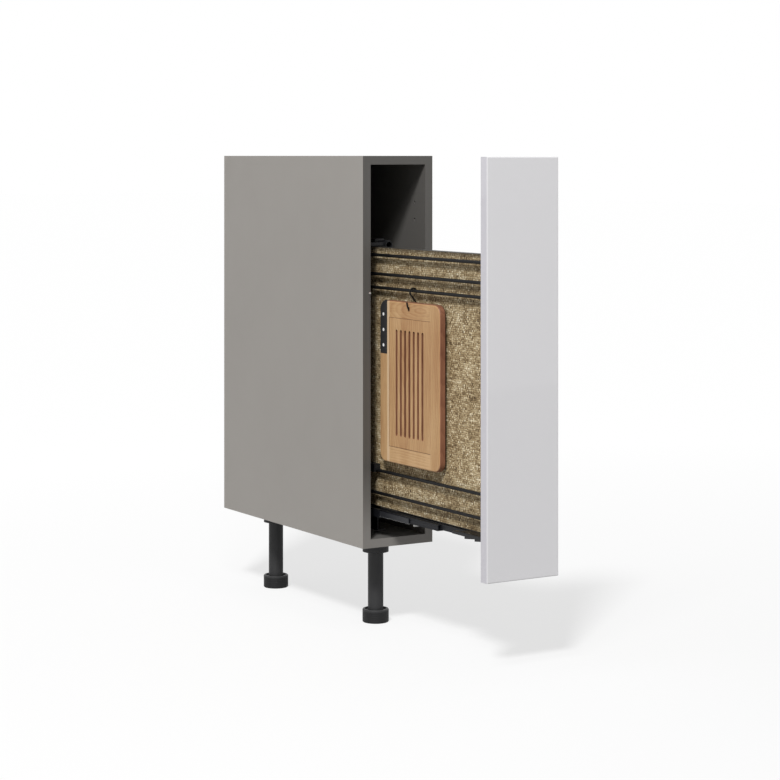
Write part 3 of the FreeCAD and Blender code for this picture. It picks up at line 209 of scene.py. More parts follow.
# %% [markdown]
# ### Soft mottle
# Melamine, lacquer and moulded plastic look even, but light always finds slow, shallow changes in
# them, and a finer grain on top. Two noises of different size, added together, give both. The
# output runs from Low to High, ready for a roughness or a tint.

# %% Build the mottle group
mottle, given, gives = new_group(
    "soft_mottle",
    {"Place": None, "Cloud Size": 0.12, "Grain Size": 0.002, "Low": 0.0, "High": 1.0},
    ["Value", "Grain"])
tree = mottle
clouds = noise(tree, given["Place"], over(tree, 1.0, given["Cloud Size"]), 2.0)
grains = noise(tree, given["Place"], over(tree, 1.0, given["Grain Size"]), 1.0)
both = plus(tree, times(tree, clouds, 0.7), times(tree, grains, 0.3))
plug(tree, gives["Value"], spread(tree, both, 0.3, 0.7, given["Low"], given["High"]))
plug(tree, gives["Grain"], grains)
print("group:", mottle.name)


def mottled(tree, place, cloud, grain, low, high):
    return use_group(tree, mottle, Place=place, Cloud_Size=cloud, Grain_Size=grain,
                     Low=low, High=high)


# %% [markdown]
# ### Flat-sawn wood
# A board cut beside the heart of a tree shows its year rings as nested arches, because the trunk
# tapers. The arches come from a simple idea: measure the distance to the heart,
# sqrt(across^2 + depth^2), take away a little for each metre along the grain, and repeat a tone at
# every ring. A slow noise makes the rings wander. Where the trunk swells, the saw meets the rings
# twice and they close into long ovals: adding a share of the length to the distance does that.
# Fibres are a noise stretched along the grain, and pores are the darkest bits of a finer one.

# %% Build the wood group
wood, given, gives = new_group(
    "flat_sawn_wood",
    {"Place": None, "Heart Depth": 0.03, "Taper": 0.08, "Oval": 0.0, "Ring Pitch": 0.006,
     "Wander": 0.012},
    ["Rings", "Fibres", "Pores"])
tree = wood
across, deep, along = split_axes(tree, given["Place"])
slow = noise(tree, join_axes(tree, across, deep, times(tree, along, 0.22)), 24.0, 2.0)
wander = times(tree, minus(tree, slow, 0.5), given["Wander"])
depth = plus(tree, deep, given["Heart Depth"])
squares = plus(tree, times(tree, across, across), times(tree, depth, depth))
swell = times(tree, along, given["Oval"])
squares = plus(tree, squares, times(tree, swell, swell))
radius = plus(tree, calc(tree, "SQRT", squares), wander)
radius = minus(tree, radius, times(tree, along, given["Taper"]))
year = calc(tree, "FRACT", over(tree, radius, given["Ring Pitch"]))
late = calc(tree, "POWER", year, 2.2)
softened = times(tree, late, minus(tree, 1.0, calc(tree, "POWER", year, 14.0)))
plug(tree, gives["Rings"], softened)
stretched = join_axes(tree, across, deep, times(tree, along, 0.016))
plug(tree, gives["Fibres"], noise(tree, stretched, 900.0, 3.0, 0.6))
short = join_axes(tree, across, deep, times(tree, along, 0.06))
plug(tree, gives["Pores"], spread(tree, noise(tree, short, 1500.0, 1.0), 0.62, 0.72, 0.0, 1.0))
print("group:", wood.name)

# %% [markdown]
# ### Brushed or rolled lines
# Steel strip carries fine lines along the way it was rolled. A noise that is squeezed across the
# strip and stretched along it gives them. The place is passed in already turned, with the lines
# along Z.

# %% Build the lines group
lines, given, gives = new_group("rolled_lines", {"Place": None, "Line Size": 0.0004}, ["Value"])
tree = lines
across, deep, along = split_axes(tree, given["Place"])
drawn = join_axes(tree, across, deep, times(tree, along, 0.015))
plug(tree, gives["Value"], noise(tree, drawn, over(tree, 1.0, given["Line Size"]), 2.0, 0.6))
print("group:", lines.name)

# %% [markdown]
# ### Handled edges
# Edges lose their skin first: paint thins, plastic polishes, wood darkens. The Bevel node bends
# the normal near an edge, so where the bent and the true normal differ there is an edge. Breaking
# the mask up with noise keeps it from looking drawn.

# %% Build the edge group
rubbed, given, gives = new_group(
    "rubbed_edge", {"Place": None, "Width": 0.001, "Patches": 0.02}, ["Mask"])
tree = rubbed
bevel = tree.nodes.new("ShaderNodeBevel")
bevel.samples = 4
plug(tree, bevel.inputs["Radius"], given["Width"])
true_normal = tree.nodes.new("ShaderNodeNewGeometry").outputs["Normal"]
matching = tree.nodes.new("ShaderNodeVectorMath")
matching.operation = "DOT_PRODUCT"
plug(tree, matching.inputs[0], bevel.outputs[0])
plug(tree, matching.inputs[1], true_normal)
edge = spread(tree, matching.outputs["Value"], 0.98, 0.75, 0.0, 1.0)
patches = noise(tree, given["Place"], over(tree, 1.0, given["Patches"]), 2.0)
plug(tree, gives["Mask"], times(tree, edge, spread(tree, patches, 0.35, 0.65, 0.2, 1.0)))
print("group:", rubbed.name)

# %% [markdown]
# ### Woven threads
# The panel's decor looks like coarse linen: upright and level threads pass over and under each
# other, and every thread changes thickness and shade along its length, because the yarn is spun
# unevenly. Counting threads with FLOOR gives each one its own number. A noise that is read with
# that number and stretched along the thread is its shade, and a sine across it is its round back.
# THREAD_STEP keeps neighbours from looking alike, and LEVEL_START keeps the level threads from
# repeating the upright ones. A checkerboard of the two counts decides which thread lies on top.

# %% Build the weave group
THREAD_STEP = 3.71
LEVEL_START = 40.0
weave, given, gives = new_group(
    "woven_threads", {"Place": None, "Pitch": 0.004, "Upright Slub": 0.01, "Level Slub": 0.02},
    ["Shade", "Height", "Gap"])
tree = weave
side, up = split_axes(tree, given["Place"])[:2]
per_metre = over(tree, 1.0, given["Pitch"])
waver = noise(tree, given["Place"], 60.0, 2.0)


def thread_count(place):
    """Counts threads, letting them drift a little sideways as real ones do."""
    drift = times(tree, minus(tree, waver, 0.5), 1.6)
    return plus(tree, times(tree, place, per_metre), drift)


def thread_shade(count, run, slub, start):
    number = times(tree, calc(tree, "FLOOR", count), THREAD_STEP)
    length = over(tree, run, slub)
    return noise(tree, join_axes(tree, number, length, start), 1.0, 3.0, 0.65)


def thread_back(count, shade):
    """Round across the thread, and fuller where the yarn is thick."""
    round_back = calc(tree, "ABSOLUTE", calc(tree, "SINE", times(tree, count, math.pi)))
    return times(tree, round_back, spread(tree, shade, 0.3, 0.7, 0.55, 1.0))


upright = thread_count(side)
level = thread_count(up)
upright_shade = thread_shade(upright, up, given["Upright Slub"], 0.0)
level_shade = thread_shade(level, side, given["Level Slub"], LEVEL_START)
pair = plus(tree, calc(tree, "FLOOR", upright), calc(tree, "FLOOR", level))
on_top = calc(tree, "MODULO", calc(tree, "ABSOLUTE", pair), 2.0)
upright_back = thread_back(upright, upright_shade)
level_back = thread_back(level, level_shade)


def chosen(first, second):
    return plus(tree, times(tree, first, on_top),
                times(tree, second, minus(tree, 1.0, on_top)))


height = chosen(upright_back, level_back)
plug(tree, gives["Shade"], chosen(upright_shade, level_shade))
plug(tree, gives["Height"], height)
plug(tree, gives["Gap"], spread(tree, height, 0.12, 0.45, 1.0, 0.0))
print("group:", weave.name)

# %% [markdown]
# ## Starting a finish
# Every finish is one Principled shader. Values that are the same all over are set straight on its
# sockets; only what changes over the surface is linked. Object coordinates are used throughout, so
# that a pattern stays on its part when the part moves, and so that its scale is in real metres.

# %% Start a finish and put it on solids
ALL_FINISHES = {}


def start_finish(title, colour, **fixed):
    material = bpy.data.materials.new(title)
    material.use_nodes = True
    tree = material.node_tree
    shader = tree.nodes["Principled BSDF"]
    shader.inputs["Base Color"].default_value = colour
    for label, value in fixed.items():
        shader.inputs[label.replace("_", " ")].default_value = value
    ALL_FINISHES[title] = material
    place = tree.nodes.new("ShaderNodeTexCoord").outputs["Object"]
    return material, tree, shader.inputs, place


def way_faced(tree):
    """How much the surface faces along each axis of its solid, from -1 to 1."""
    return split_axes(tree, tree.nodes.new("ShaderNodeTexCoord").outputs["Normal"])


def bump(tree, sockets, height, distance, strength=1.0):
    node = tree.nodes.new("ShaderNodeBump")
    node.inputs["Strength"].default_value = strength
    node.inputs["Distance"].default_value = distance
    plug(tree, node.inputs["Height"], height)
    plug(tree, sockets["Normal"], node.outputs[0])


def dress(material, *names):
    for name in names:
        piece = nodes[name]
        if not piece.material_slots:
            piece.data.materials.append(material)
        for holder in piece.material_slots:
            holder.material = material
    print(material.name, "on", len(names), "solids")


# %% [markdown]
# ## Melamine board
# The carcass is chipboard faced with melamine paper, pressed on a finely grained plate, so it is
# matt with a tiny pearl in it. The outer faces are a warm light grey. The inside and the taped
# edges are graphite, so that the bay looks deep and the front stands out. Sheets with two
# different faces are common, and one material can do both: it knows the outer faces by their
# place, within half a millimetre of the cabinet's sides, and the tape by its place at the front.
# Near the floor the tape is painted a shade paler, as painted light thrown up by the pale floor.

# %% Two-tone melamine with a taped front edge
WARM_GREY = seen(147, 143, 138)
melamine, tree, sockets, place = start_finish("two_tone_melamine", WARM_GREY, IOR=1.45)
across, backward, up = split_axes(tree, place)
left_x, front_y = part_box("side_panel_left")[0][:2]
under_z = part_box("bottom_panel")[0][2]
from_middle = calc(tree, "ABSOLUTE", across)
outer = spread(tree, from_middle, -left_x - 0.0006, -left_x - 0.0003, 0.0, 1.0)
behind_tape = spread(tree, backward, front_y + 0.0007, front_y + 0.0009, 0.0, 1.0)
outer = times(tree, outer, behind_tape)
# Painted light: the tape is painted paler near the floor, for the light the floor throws back.
painted_floor_light = spread(tree, up, under_z + 0.025, under_z + 0.15, 1.0, 0.0)
tape = blend_colours(tree, painted_floor_light, seen(79, 77, 74), seen(114, 111, 107))
graphite = blend_colours(tree, behind_tape, tape, seen(90, 88, 85))
tone = mottled(tree, place, cloud=0.25, grain=0.0012, low=0.975, high=1.02)
plain = blend_colours(tree, outer, graphite, WARM_GREY)
plug(tree, sockets["Base Color"], shaded(tree, plain, tone["Value"]))
sheen = mottled(tree, place, cloud=0.08, grain=0.0009, low=0.46, high=0.58)
plug(tree, sockets["Roughness"], sheen["Value"])
bump(tree, sockets, tone["Grain"], 0.00003, 0.5)
dress(melamine, "side_panel_left", "side_panel_right", "top_panel", "bottom_panel")

# %% [markdown]
# ## Back board
# The back is thin fibreboard with a printed coat. It sits deep inside, where little light comes, so
# a slightly darker grey with a fibrous speckle is enough.

# %% Printed fibreboard
BACK_GREY = seen(88, 86, 84)
printed_back, tree, sockets, place = start_finish("printed_back_board", BACK_GREY)
speck = mottled(tree, place, cloud=0.1, grain=0.0016, low=0.93, high=1.04)
plug(tree, sockets["Base Color"], shaded(tree, BACK_GREY, speck["Value"]))
plug(tree, sockets["Roughness"], spread(tree, speck["Grain"], 0.3, 0.7, 0.55, 0.7))
bump(tree, sockets, speck["Grain"], 0.00004, 0.5)
dress(printed_back, "back_panel")

# %% [markdown]
# ## Gloss lacquer front
# The front is fibreboard sprayed with coloured lacquer and then with a clear one that is polished.
# Two layers in reality, two in the shader: a softly rough pigment under a smooth coat. Sprayed
# lacquer is never as flat as glass: it keeps a long, shallow ripple called orange peel, which
# only shows in reflections, and the pigment drifts a trace in tone. The sides are painted a
# little darker than the front, as painted shade.

# %% Pale lacquer under a clear coat
lacquer, tree, sockets, place = start_finish(
    "pale_gloss_lacquer", seen(202, 200, 204), Coat_Weight=1.0, Coat_Roughness=0.035, Coat_IOR=1.5)
drift = mottled(tree, place, cloud=0.3, grain=0.0007, low=0.988, high=1.008)
# Painted shade: faces that look sideways are painted a shade darker than the front.
painted_side_shade = spread(tree, calc(tree, "ABSOLUTE", way_faced(tree)[0]), 0.9, 0.99, 0.0, 1.0)
pigment = blend_colours(tree, painted_side_shade, seen(202, 201, 203), seen(194, 192, 198))
plug(tree, sockets["Base Color"], shaded(tree, pigment, drift["Value"]))
plug(tree, sockets["Roughness"], spread(tree, drift["Value"], 0.98, 1.01, 0.30, 0.38))
peel = noise(tree, place, 110.0, 1.0)
bump(tree, sockets, peel, 0.00004, 0.15)
dress(lacquer, "door_front")

# %% [markdown]
# ## Woven decor
# Both faces of the panel carry a linen decor. The eye reads it at three sizes: single threads,
# slubs a few centimetres long where the yarn is thicker or darker, and slow patches as on cloth
# that was dyed by hand. The threads' shade picks a colour from a ramp between dark brown and
# cream; gaps between threads are nearly black; the threads' height makes the bump. Along the
# panel's top edge the decor turns dark, and near both borders it is painted darker, as painted
# shade of the rails and the runner.

# %% Linen decor
linen, tree, sockets, place = start_finish("woven_linen_decor", seen(150, 132, 102), IOR=1.4)
backward, up = split_axes(tree, place)[1:]
cloth = use_group(tree, weave, Place=join_axes(tree, backward, up, 0.0), Pitch=0.0037,
                  Upright_Slub=0.009, Level_Slub=0.022)
patch = noise(tree, place, 26.0, 3.0, 0.6)
shade = plus(tree, cloth["Shade"], times(tree, minus(tree, patch, 0.5), 0.28))
thread_colour = colour_steps(tree, shade, (
    (0.27, seen(72, 54, 36)), (0.39, seen(128, 107, 74)), (0.50, seen(170, 148, 111)),
    (0.60, seen(206, 188, 152)), (0.72, seen(240, 228, 200))))
woven = blend_colours(tree, times(tree, cloth["Gap"], 0.85), thread_colour, seen(46, 36, 25))
skin_low, skin_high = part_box("decor_skin_left")
# The decor is darker in a band along the panel's top edge.
top_edge_band = spread(tree, up, skin_high[2] - 0.008, skin_high[2] - 0.003, 0.0, 1.0)
woven = blend_colours(tree, times(tree, top_edge_band, 0.65), woven, seen(52, 44, 34))
# Painted shade: the decor darkens towards its bottom and top borders, for the shade of the runner
# and rails.
painted_shade_low = spread(tree, up, skin_low[2], skin_low[2] + 0.09, 0.80, 1.0)
painted_shade_high = spread(tree, up, skin_high[2] - 0.16, skin_high[2] - 0.06, 1.0, 0.87)
plug(tree, sockets["Base Color"], shaded(tree, woven, times(tree, painted_shade_low, painted_shade_high)))
plug(tree, sockets["Roughness"], spread(tree, cloth["Height"], 0.0, 1.0, 0.85, 0.65))
bump(tree, sockets, cloth["Height"], 0.0005, 0.8)
dress(linen, "decor_skin_left", "decor_skin_right")

# %% [markdown]
# ## Panel core and its edge tape
# Between the skins is a dark fibreboard core: pressed fibres show as a fine speckle wherever it was
# cut. The edges are covered with thin black tape, smooth, with the faint drag marks of the scraper
# that trims it.

# %% Fibreboard core and black tape
FIBRE_BROWN = seen(72, 62, 52)
core, tree, sockets, place = start_finish("dark_fibreboard", FIBRE_BROWN)
fibre = mottled(tree, place, cloud=0.02, grain=0.0006, low=0.7, high=1.25)
plug(tree, sockets["Base Color"], shaded(tree, FIBRE_BROWN, fibre["Value"]))
plug(tree, sockets["Roughness"], spread(tree, fibre["Grain"], 0.3, 0.7, 0.75, 0.92))
bump(tree, sockets, fibre["Grain"], 0.0001, 0.6)
dress(core, "panel_core")

tape_finish, tree, sockets, place = start_finish("black_edge_tape", seen(48, 45, 42))
drag = use_group(tree, lines, Place=place, Line_Size=0.0006)
plug(tree, sockets["Base Color"], colour_steps(
    tree, drag["Value"], ((0.3, seen(42, 40, 37)), (0.7, seen(54, 51, 47)))))
plug(tree, sockets["Roughness"], spread(tree, drag["Value"], 0.3, 0.7, 0.38, 0.55))
bump(tree, sockets, drag["Value"], 0.00003, 0.4)
dress(tape_finish, "panel_edging")

# %% [markdown]
# ## Black powder coat
# Rails and posts are sprayed with charge-held powder that melts in an oven. It flows into a
# fine orange peel with a soft sheen, and thins on sharp edges, where it looks a little lighter.
# Several finishes below are made in this way, an even skin that is paler along its edges, so one
# function builds them all. The hook's wire is dipped instead, so it is blacker and duller than the
# rail it hangs on.


# %% Powder-coated rails and hook
def handled_finish(title, body, edge, skin, wear, relief, **fixed):
    """An even skin, paler on its edges: skin is cloud, grain, low and high; wear width, patches."""
    material, tree, sockets, place = start_finish(title, body, **fixed)
    even = mottled(tree, place, *skin)
    worn = use_group(tree, rubbed, Place=place, Width=wear[0], Patches=wear[1])
    plug(tree, sockets["Base Color"], blend_colours(tree, worn["Mask"], body, edge))
    plug(tree, sockets["Roughness"], even["Value"])
    bump(tree, sockets, even["Grain"], *relief)
    return material


powder = handled_finish(
    "black_powder_coat", seen(15, 15, 16), seen(36, 36, 37), skin=(0.02, 0.0007, 0.46, 0.58),
    wear=(0.0008, 0.01), relief=(0.00006, 0.5), Specular_IOR_Level=0.2)
dress(powder, "rail_1", "rail_2", "rail_3", "rail_4", "rail_5", "rail_posts")

hook_finish, tree, sockets, place = start_finish(
    "black_dipped_wire", seen(8, 8, 8), Specular_IOR_Level=0.2)
dipped = mottled(tree, place, cloud=0.006, grain=0.0005, low=0.5, high=0.62)
plug(tree, sockets["Base Color"], colour_steps(
    tree, dipped["Grain"], ((0.35, seen(6, 6, 6)), (0.65, seen(11, 11, 11)))))
plug(tree, sockets["Roughness"], dipped["Value"])
bump(tree, sockets, dipped["Grain"], 0.00004, 0.4)
dress(hook_finish, "s_hook")

# %% [markdown]
# ## Black moulded plastic
# Legs, stop block, coupler and shoe come out of injection moulds. The tool is spark-eroded, which
# leaves a fine even grain, and handling polishes the edges. The feet have shallow grip rings, cut
# in the mould: a wave along the height, used only low down, gives them.

# %% Moulded plastic for the legs and small parts
FOOT_TOP = 0.021
GRIP_PITCH = 0.0036
leg_plastic, tree, sockets, place = start_finish(
    "black_leg_plastic", seen(40, 40, 41), Specular_IOR_Level=0.4)
spark = mottled(tree, place, cloud=0.03, grain=0.0005, low=0.44, high=0.58)
handled = use_group(tree, rubbed, Place=place, Width=0.0015, Patches=0.008)
height_up = split_axes(tree, place)[2]
low_down = spread(tree, height_up, FOOT_TOP - 0.0005, FOOT_TOP + 0.0005, 1.0, 0.0)
moulded = blend_colours(tree, low_down, seen(42, 42, 43), seen(12, 12, 13))
plug(tree, sockets["Base Color"], blend_colours(
    tree, handled["Mask"], moulded, seen(38, 38, 39)))
plug(tree, sockets["Roughness"], spread(tree, handled["Mask"], 0.0, 1.0, spark["Value"], 0.44))
ring = calc(tree, "SINE", times(tree, height_up, 2 * math.pi / GRIP_PITCH))
relief = plus(tree, times(tree, ring, low_down), times(tree, spark["Grain"], 0.6))
bump(tree, sockets, relief, 0.0001, 0.6)
dress(leg_plastic, "leg_socket_front", "leg_socket_rear", "leg_tube_front", "leg_tube_rear",
      "foot_front", "foot_rear")

small_plastic = handled_finish(
    "black_small_plastic", seen(22, 22, 24), seen(38, 38, 40), skin=(0.015, 0.0004, 0.38, 0.52),
    wear=(0.0007, 0.006), relief=(0.00005, 0.5), Specular_IOR_Level=0.4)
dress(small_plastic, "rail_stop_block", "front_coupler", "guide_shoe")

# %% [markdown]
# ## Ball cages and buffers
# A ball cage is a thin dark strip. The lower one ends in a nose of self-lubricating white plastic,
# slightly waxy, that hangs below the strip. It is moulded on, so one finish turns from strip to
# nose where the strip's underside is. The upper cage has no nose, so there the turn lies just
# below the strip. The buffers on the front edges are soft, clearer plastic.

# %% Cages with a white nose, and the buffers
NOSE_DROP = 0.0056


def cage_finish(title, nose_top):
    material, tree, sockets, place = start_finish(title, seen(34, 35, 38))
    wax = mottled(tree, place, cloud=0.02, grain=0.0005, low=0.38, high=0.52)
    pale = colour_steps(
        tree, wax["Grain"], ((0.35, seen(222, 222, 217)), (0.65, seen(236, 236, 233))))
    dark = colour_steps(
        tree, wax["Grain"], ((0.35, seen(30, 31, 34)), (0.65, seen(40, 41, 45))))
    above = spread(tree, split_axes(tree, place)[2], nose_top, nose_top + 0.0002, 0.0, 1.0)
    plug(tree, sockets["Base Color"], blend_colours(tree, above, pale, dark))
    plug(tree, sockets["Roughness"], wax["Value"])
    bump(tree, sockets, wax["Grain"], 0.00003, 0.4)
    return material


nose_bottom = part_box("ball_cage_lower")[0][2]
upper_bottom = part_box("ball_cage_upper")[0][2]
dress(cage_finish("lower_cage_strip_and_nose", nose_bottom + NOSE_DROP), "ball_cage_lower")
dress(cage_finish("upper_cage_strip", upper_bottom - 0.001), "ball_cage_upper")

buffer_finish, tree, sockets, place = start_finish(
    "soft_buffer_plastic", seen(166, 165, 163), Subsurface_Weight=0.15, Subsurface_Scale=0.001)
wax = mottled(tree, place, cloud=0.004, grain=0.0004, low=0.3, high=0.42)
plug(tree, sockets["Base Color"], colour_steps(
    tree, wax["Grain"], ((0.35, seen(158, 157, 156)), (0.65, seen(174, 173, 171)))))
plug(tree, sockets["Roughness"], wax["Value"])
bump(tree, sockets, wax["Grain"], 0.00003, 0.4)
dress(buffer_finish, "door_buffers")

# %% [markdown]
# ## Metals
# Six kinds of metal do the work. The runner is cold-rolled strip with a blue-black coating, so
# its lines run along it, and its upward faces are painted near black, as painted shade. Screws
# and stems are zinc plated: bright, slightly blue, with a cloudy bloom. Brackets, saddles, stands
# and the guide are blackened, so that they vanish in the bay. The balls are polished bearing
# steel. The knife blade is ground, which leaves fine lines across it, and its rivets are pale and
# turned.

# %% Dark coated runner strip
strip, tree, sockets, place = start_finish(
    "dark_runner_steel", seen(26, 27, 31), Metallic=0.3, Specular_IOR_Level=0.35)
across, backward, up = split_axes(tree, place)
rolled = use_group(tree, lines, Place=join_axes(tree, across, up, backward), Line_Size=0.0005)
bare = use_group(tree, rubbed, Place=place, Width=0.0006, Patches=0.012)
base = colour_steps(tree, rolled["Value"], ((0.3, seen(17, 18, 22)), (0.7, seen(25, 26, 30))))
base = blend_colours(tree, bare["Mask"], base, seen(48, 49, 53))
# Painted shade: faces that look up are painted near black.
painted_top_shade = spread(tree, way_faced(tree)[2], 0.7, 0.95, 0.0, 1.0)
plug(tree, sockets["Base Color"], blend_colours(tree, painted_top_shade, base, seen(9, 9, 10)))
plug(tree, sockets["Roughness"], spread(tree, rolled["Value"], 0.3, 0.7, 0.42, 0.56))
bump(tree, sockets, rolled["Value"], 0.00004, 0.4)
dress(strip, "runner_outer_member", "runner_middle_member", "runner_inner_member")

# %% Zinc plate, dark guide metal and bearing steel
zinc, tree, sockets, place = start_finish("zinc_plate", seen(186, 188, 190), Metallic=1.0)
bloom = mottled(tree, place, cloud=0.012, grain=0.0008, low=0.26, high=0.44)
plug(tree, sockets["Base Color"], colour_steps(
    tree, bloom["Value"], ((0.26, seen(172, 175, 180)), (0.44, seen(200, 200, 196)))))
plug(tree, sockets["Roughness"], bloom["Value"])
bump(tree, sockets, bloom["Grain"], 0.00002, 0.4)
dress(zinc, "foot_stem_front", "foot_stem_rear", "stand_screws", "runner_rivets", "guide_screws",
      "door_screws", "saddle_rivets", "panel_screws")

guide_metal = handled_finish(
    "blackened_steel", seen(20, 20, 22), seen(44, 44, 46), skin=(0.015, 0.0006, 0.38, 0.5),
    wear=(0.0006, 0.008), relief=(0.00004, 0.4), Metallic=0.3, Specular_IOR_Level=0.4)
dress(guide_metal, "guide_tube", "guide_bracket_front", "guide_bracket_rear",
      "runner_stand_front", "runner_stand_rear", "saddle_front", "saddle_rear",
      "door_bracket_lower", "door_bracket_upper")

bearing, tree, sockets, place = start_finish("bearing_steel", seen(214, 214, 214), Metallic=1.0)
glaze = mottled(tree, place, cloud=0.004, grain=0.0003, low=0.05, high=0.12)
plug(tree, sockets["Roughness"], glaze["Value"])
plug(tree, sockets["Base Color"], colour_steps(
    tree, glaze["Grain"], ((0.3, seen(206, 206, 206)), (0.7, seen(222, 222, 222)))))
dress(bearing, "balls_lower", "balls_upper")

# %% Ground blade and turned rivets
ground, tree, sockets, place = start_finish("ground_blade_steel", seen(200, 201, 202), Metallic=1.0)
across, backward, up = split_axes(tree, place)
grind = use_group(tree, lines, Place=join_axes(tree, across, up, backward), Line_Size=0.00025)
plug(tree, sockets["Base Color"], colour_steps(
    tree, grind["Value"], ((0.3, seen(184, 185, 187)), (0.7, seen(212, 212, 212)))))
plug(tree, sockets["Roughness"], spread(tree, grind["Value"], 0.3, 0.7, 0.18, 0.34))
bump(tree, sockets, grind["Value"], 0.00002, 0.4)
dress(ground, "knife_blade")

rivet, tree, sockets, place = start_finish("turned_rivet", seen(250, 250, 248), Metallic=0.2)
turned = use_group(tree, lines, Place=place, Line_Size=0.0003)
plug(tree, sockets["Base Color"], colour_steps(
    tree, turned["Value"], ((0.3, seen(246, 246, 244)), (0.7, seen(254, 254, 253)))))
plug(tree, sockets["Roughness"], spread(tree, turned["Value"], 0.3, 0.7, 0.3, 0.42))
bump(tree, sockets, turned["Value"], 0.00001, 0.3)
dress(rivet, "knife_rivets")

# %% [markdown]
# ## Bread board
# The board is a frame of warm hardwood with a slotted crumb grid set in it. A joiner cuts upright
# stiles with upright grain, and top and bottom rails with level grain, so the wood changes
# direction at the joints. One material can do that: it knows each point's place, and turns the
# grain where a rail is. The narrow sides are cut across other fibres and soak up more oil, so they
# are darker and redder. A nearly black line along the back arris is painted shadow, the shade of
# the gap behind the board. A paler strip in front of the knife is a painted highlight on the
# frame's edge there. The ovals in the top rail close round one place, which is written as how far
# it lies before the board's middle and below its top.

# %% Oiled hardwood
board_low, board_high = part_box("board_frame")
grid_low, grid_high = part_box("crumb_grid")
board_mid = [(low + high) / 2 for low, high in zip(board_low, board_high)]
# Widths of the painted shadow along the back arris and of the painted highlight strip.
GAP_SHADOW_WIDTH = 0.0026
HIGHLIGHT_STRIP_WIDTH = 0.0085
KNOT_FORWARD = 0.036
KNOT_DOWN = 0.0125


def inside(tree, value, low, high):
    """One between low and high, nothing outside, with a hairline fade."""
    above = spread(tree, value, low - 0.0001, low + 0.0001, 0.0, 1.0)
    below = spread(tree, value, high - 0.0001, high + 0.0001, 1.0, 0.0)
    return times(tree, above, below)


def hardwood(title, framed, seed):
    material, tree, sockets, place = start_finish(
        title, seen(186, 150, 110), IOR=1.45, Specular_IOR_Level=0.4)
    across, backward, up = split_axes(tree, place)
    from_mid = minus(tree, backward, board_mid[1] + seed)
    from_top = minus(tree, up, board_mid[2])
    grain_place = join_axes(tree, from_mid, across, from_top)
    heart, taper, oval, ring_share = 0.012, 0.12, 0.0, 0.22
    if framed:
        beside = inside(tree, backward, grid_low[1], grid_high[1])
        rail = times(tree, beside, minus(
            tree, 1.0, inside(tree, up, grid_low[2], grid_high[2])))
        from_knot = minus(tree, backward, board_mid[1] - KNOT_FORWARD)
        above_knot = minus(tree, up, board_high[2] - KNOT_DOWN)
        level = join_axes(tree, above_knot, across, from_knot)
        node = tree.nodes.new("ShaderNodeMix")
        node.data_type = "VECTOR"
        plug(tree, node.inputs[0], rail)
        plug(tree, node.inputs[4], grain_place)
        plug(tree, node.inputs[5], level)
        grain_place = node.outputs[1]
        heart = spread(tree, rail, 0.0, 1.0, heart, -board_low[0])
        taper = spread(tree, rail, 0.0, 1.0, taper, 0.0)
        oval = spread(tree, rail, 0.0, 1.0, oval, 0.25)
        ring_share = spread(tree, rail, 0.0, 1.0, 0.20, 0.25)
    grain = use_group(tree, wood, Place=grain_place, Heart_Depth=heart, Taper=taper, Oval=oval,
                      Ring_Pitch=0.0052, Wander=0.012)
    tint = noise(tree, join_axes(tree, backward, across, times(tree, up, 0.25)), 26.0, 2.0)
    amount = plus(tree, times(tree, grain["Rings"], ring_share),
                  times(tree, grain["Fibres"], 0.62))
    amount = plus(tree, amount, times(tree, minus(tree, tint, 0.5), 0.75))
    if framed:
        low_rail = times(tree, rail, spread(tree, from_top, -0.001, 0.001, 1.0, 0.0))
        amount = minus(tree, amount, times(tree, low_rail, 0.17))
    face = colour_steps(tree, amount, (
        (0.10, seen(194, 159, 117)), (0.30, seen(181, 144, 101)), (0.55, seen(164, 122, 82)),
        (0.85, seen(134, 91, 59))))
    flesh = colour_steps(tree, amount, ((0.15, seen(140, 97, 73)), (0.6, seen(100, 61, 45))))
    if framed:
        knife_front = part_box("knife_handle")[0][1]
        # Painted highlight: a paler strip on the frame in front of the knife.
        painted_arris_highlight = inside(tree, backward, knife_front - HIGHLIGHT_STRIP_WIDTH, knife_front)
        face = blend_colours(tree, times(tree, painted_arris_highlight, 0.6), face, seen(214, 190, 158))
    wide_face = calc(tree, "ABSOLUTE", way_faced(tree)[0])
    side = spread(tree, wide_face, 0.55, 0.9, 1.0, 0.0)
    colour = blend_colours(tree, side, face, flesh)
    # Painted shadow: a nearly black line along the back arris, for the shaded gap behind the board.
    gap_shadow_start = board_high[0] - GAP_SHADOW_WIDTH
    painted_gap_shadow = spread(tree, across, gap_shadow_start - 0.0003, gap_shadow_start, 0.0, 1.0)
    colour = blend_colours(tree, painted_gap_shadow, colour, seen(34, 20, 12))
    colour = blend_colours(tree, times(tree, grain["Pores"], 0.3), colour, seen(112, 76, 50))
    plug(tree, sockets["Base Color"], colour)
    plug(tree, sockets["Roughness"], spread(tree, grain["Fibres"], 0.3, 0.7, 0.42, 0.58))
    bump(tree, sockets, minus(tree, grain["Fibres"], grain["Pores"]), 0.00005, 0.6)
    return material


dress(hardwood("board_hardwood", True, 0.0), "board_frame")
dress(hardwood("grid_hardwood", False, 0.021), "crumb_grid")

# %% [markdown]
# ## Dowels
# Turned beech pins hold the carcass together. They are hidden in their holes, but the same wood
# group finishes them in a few lines, with a paler, plainer grain.

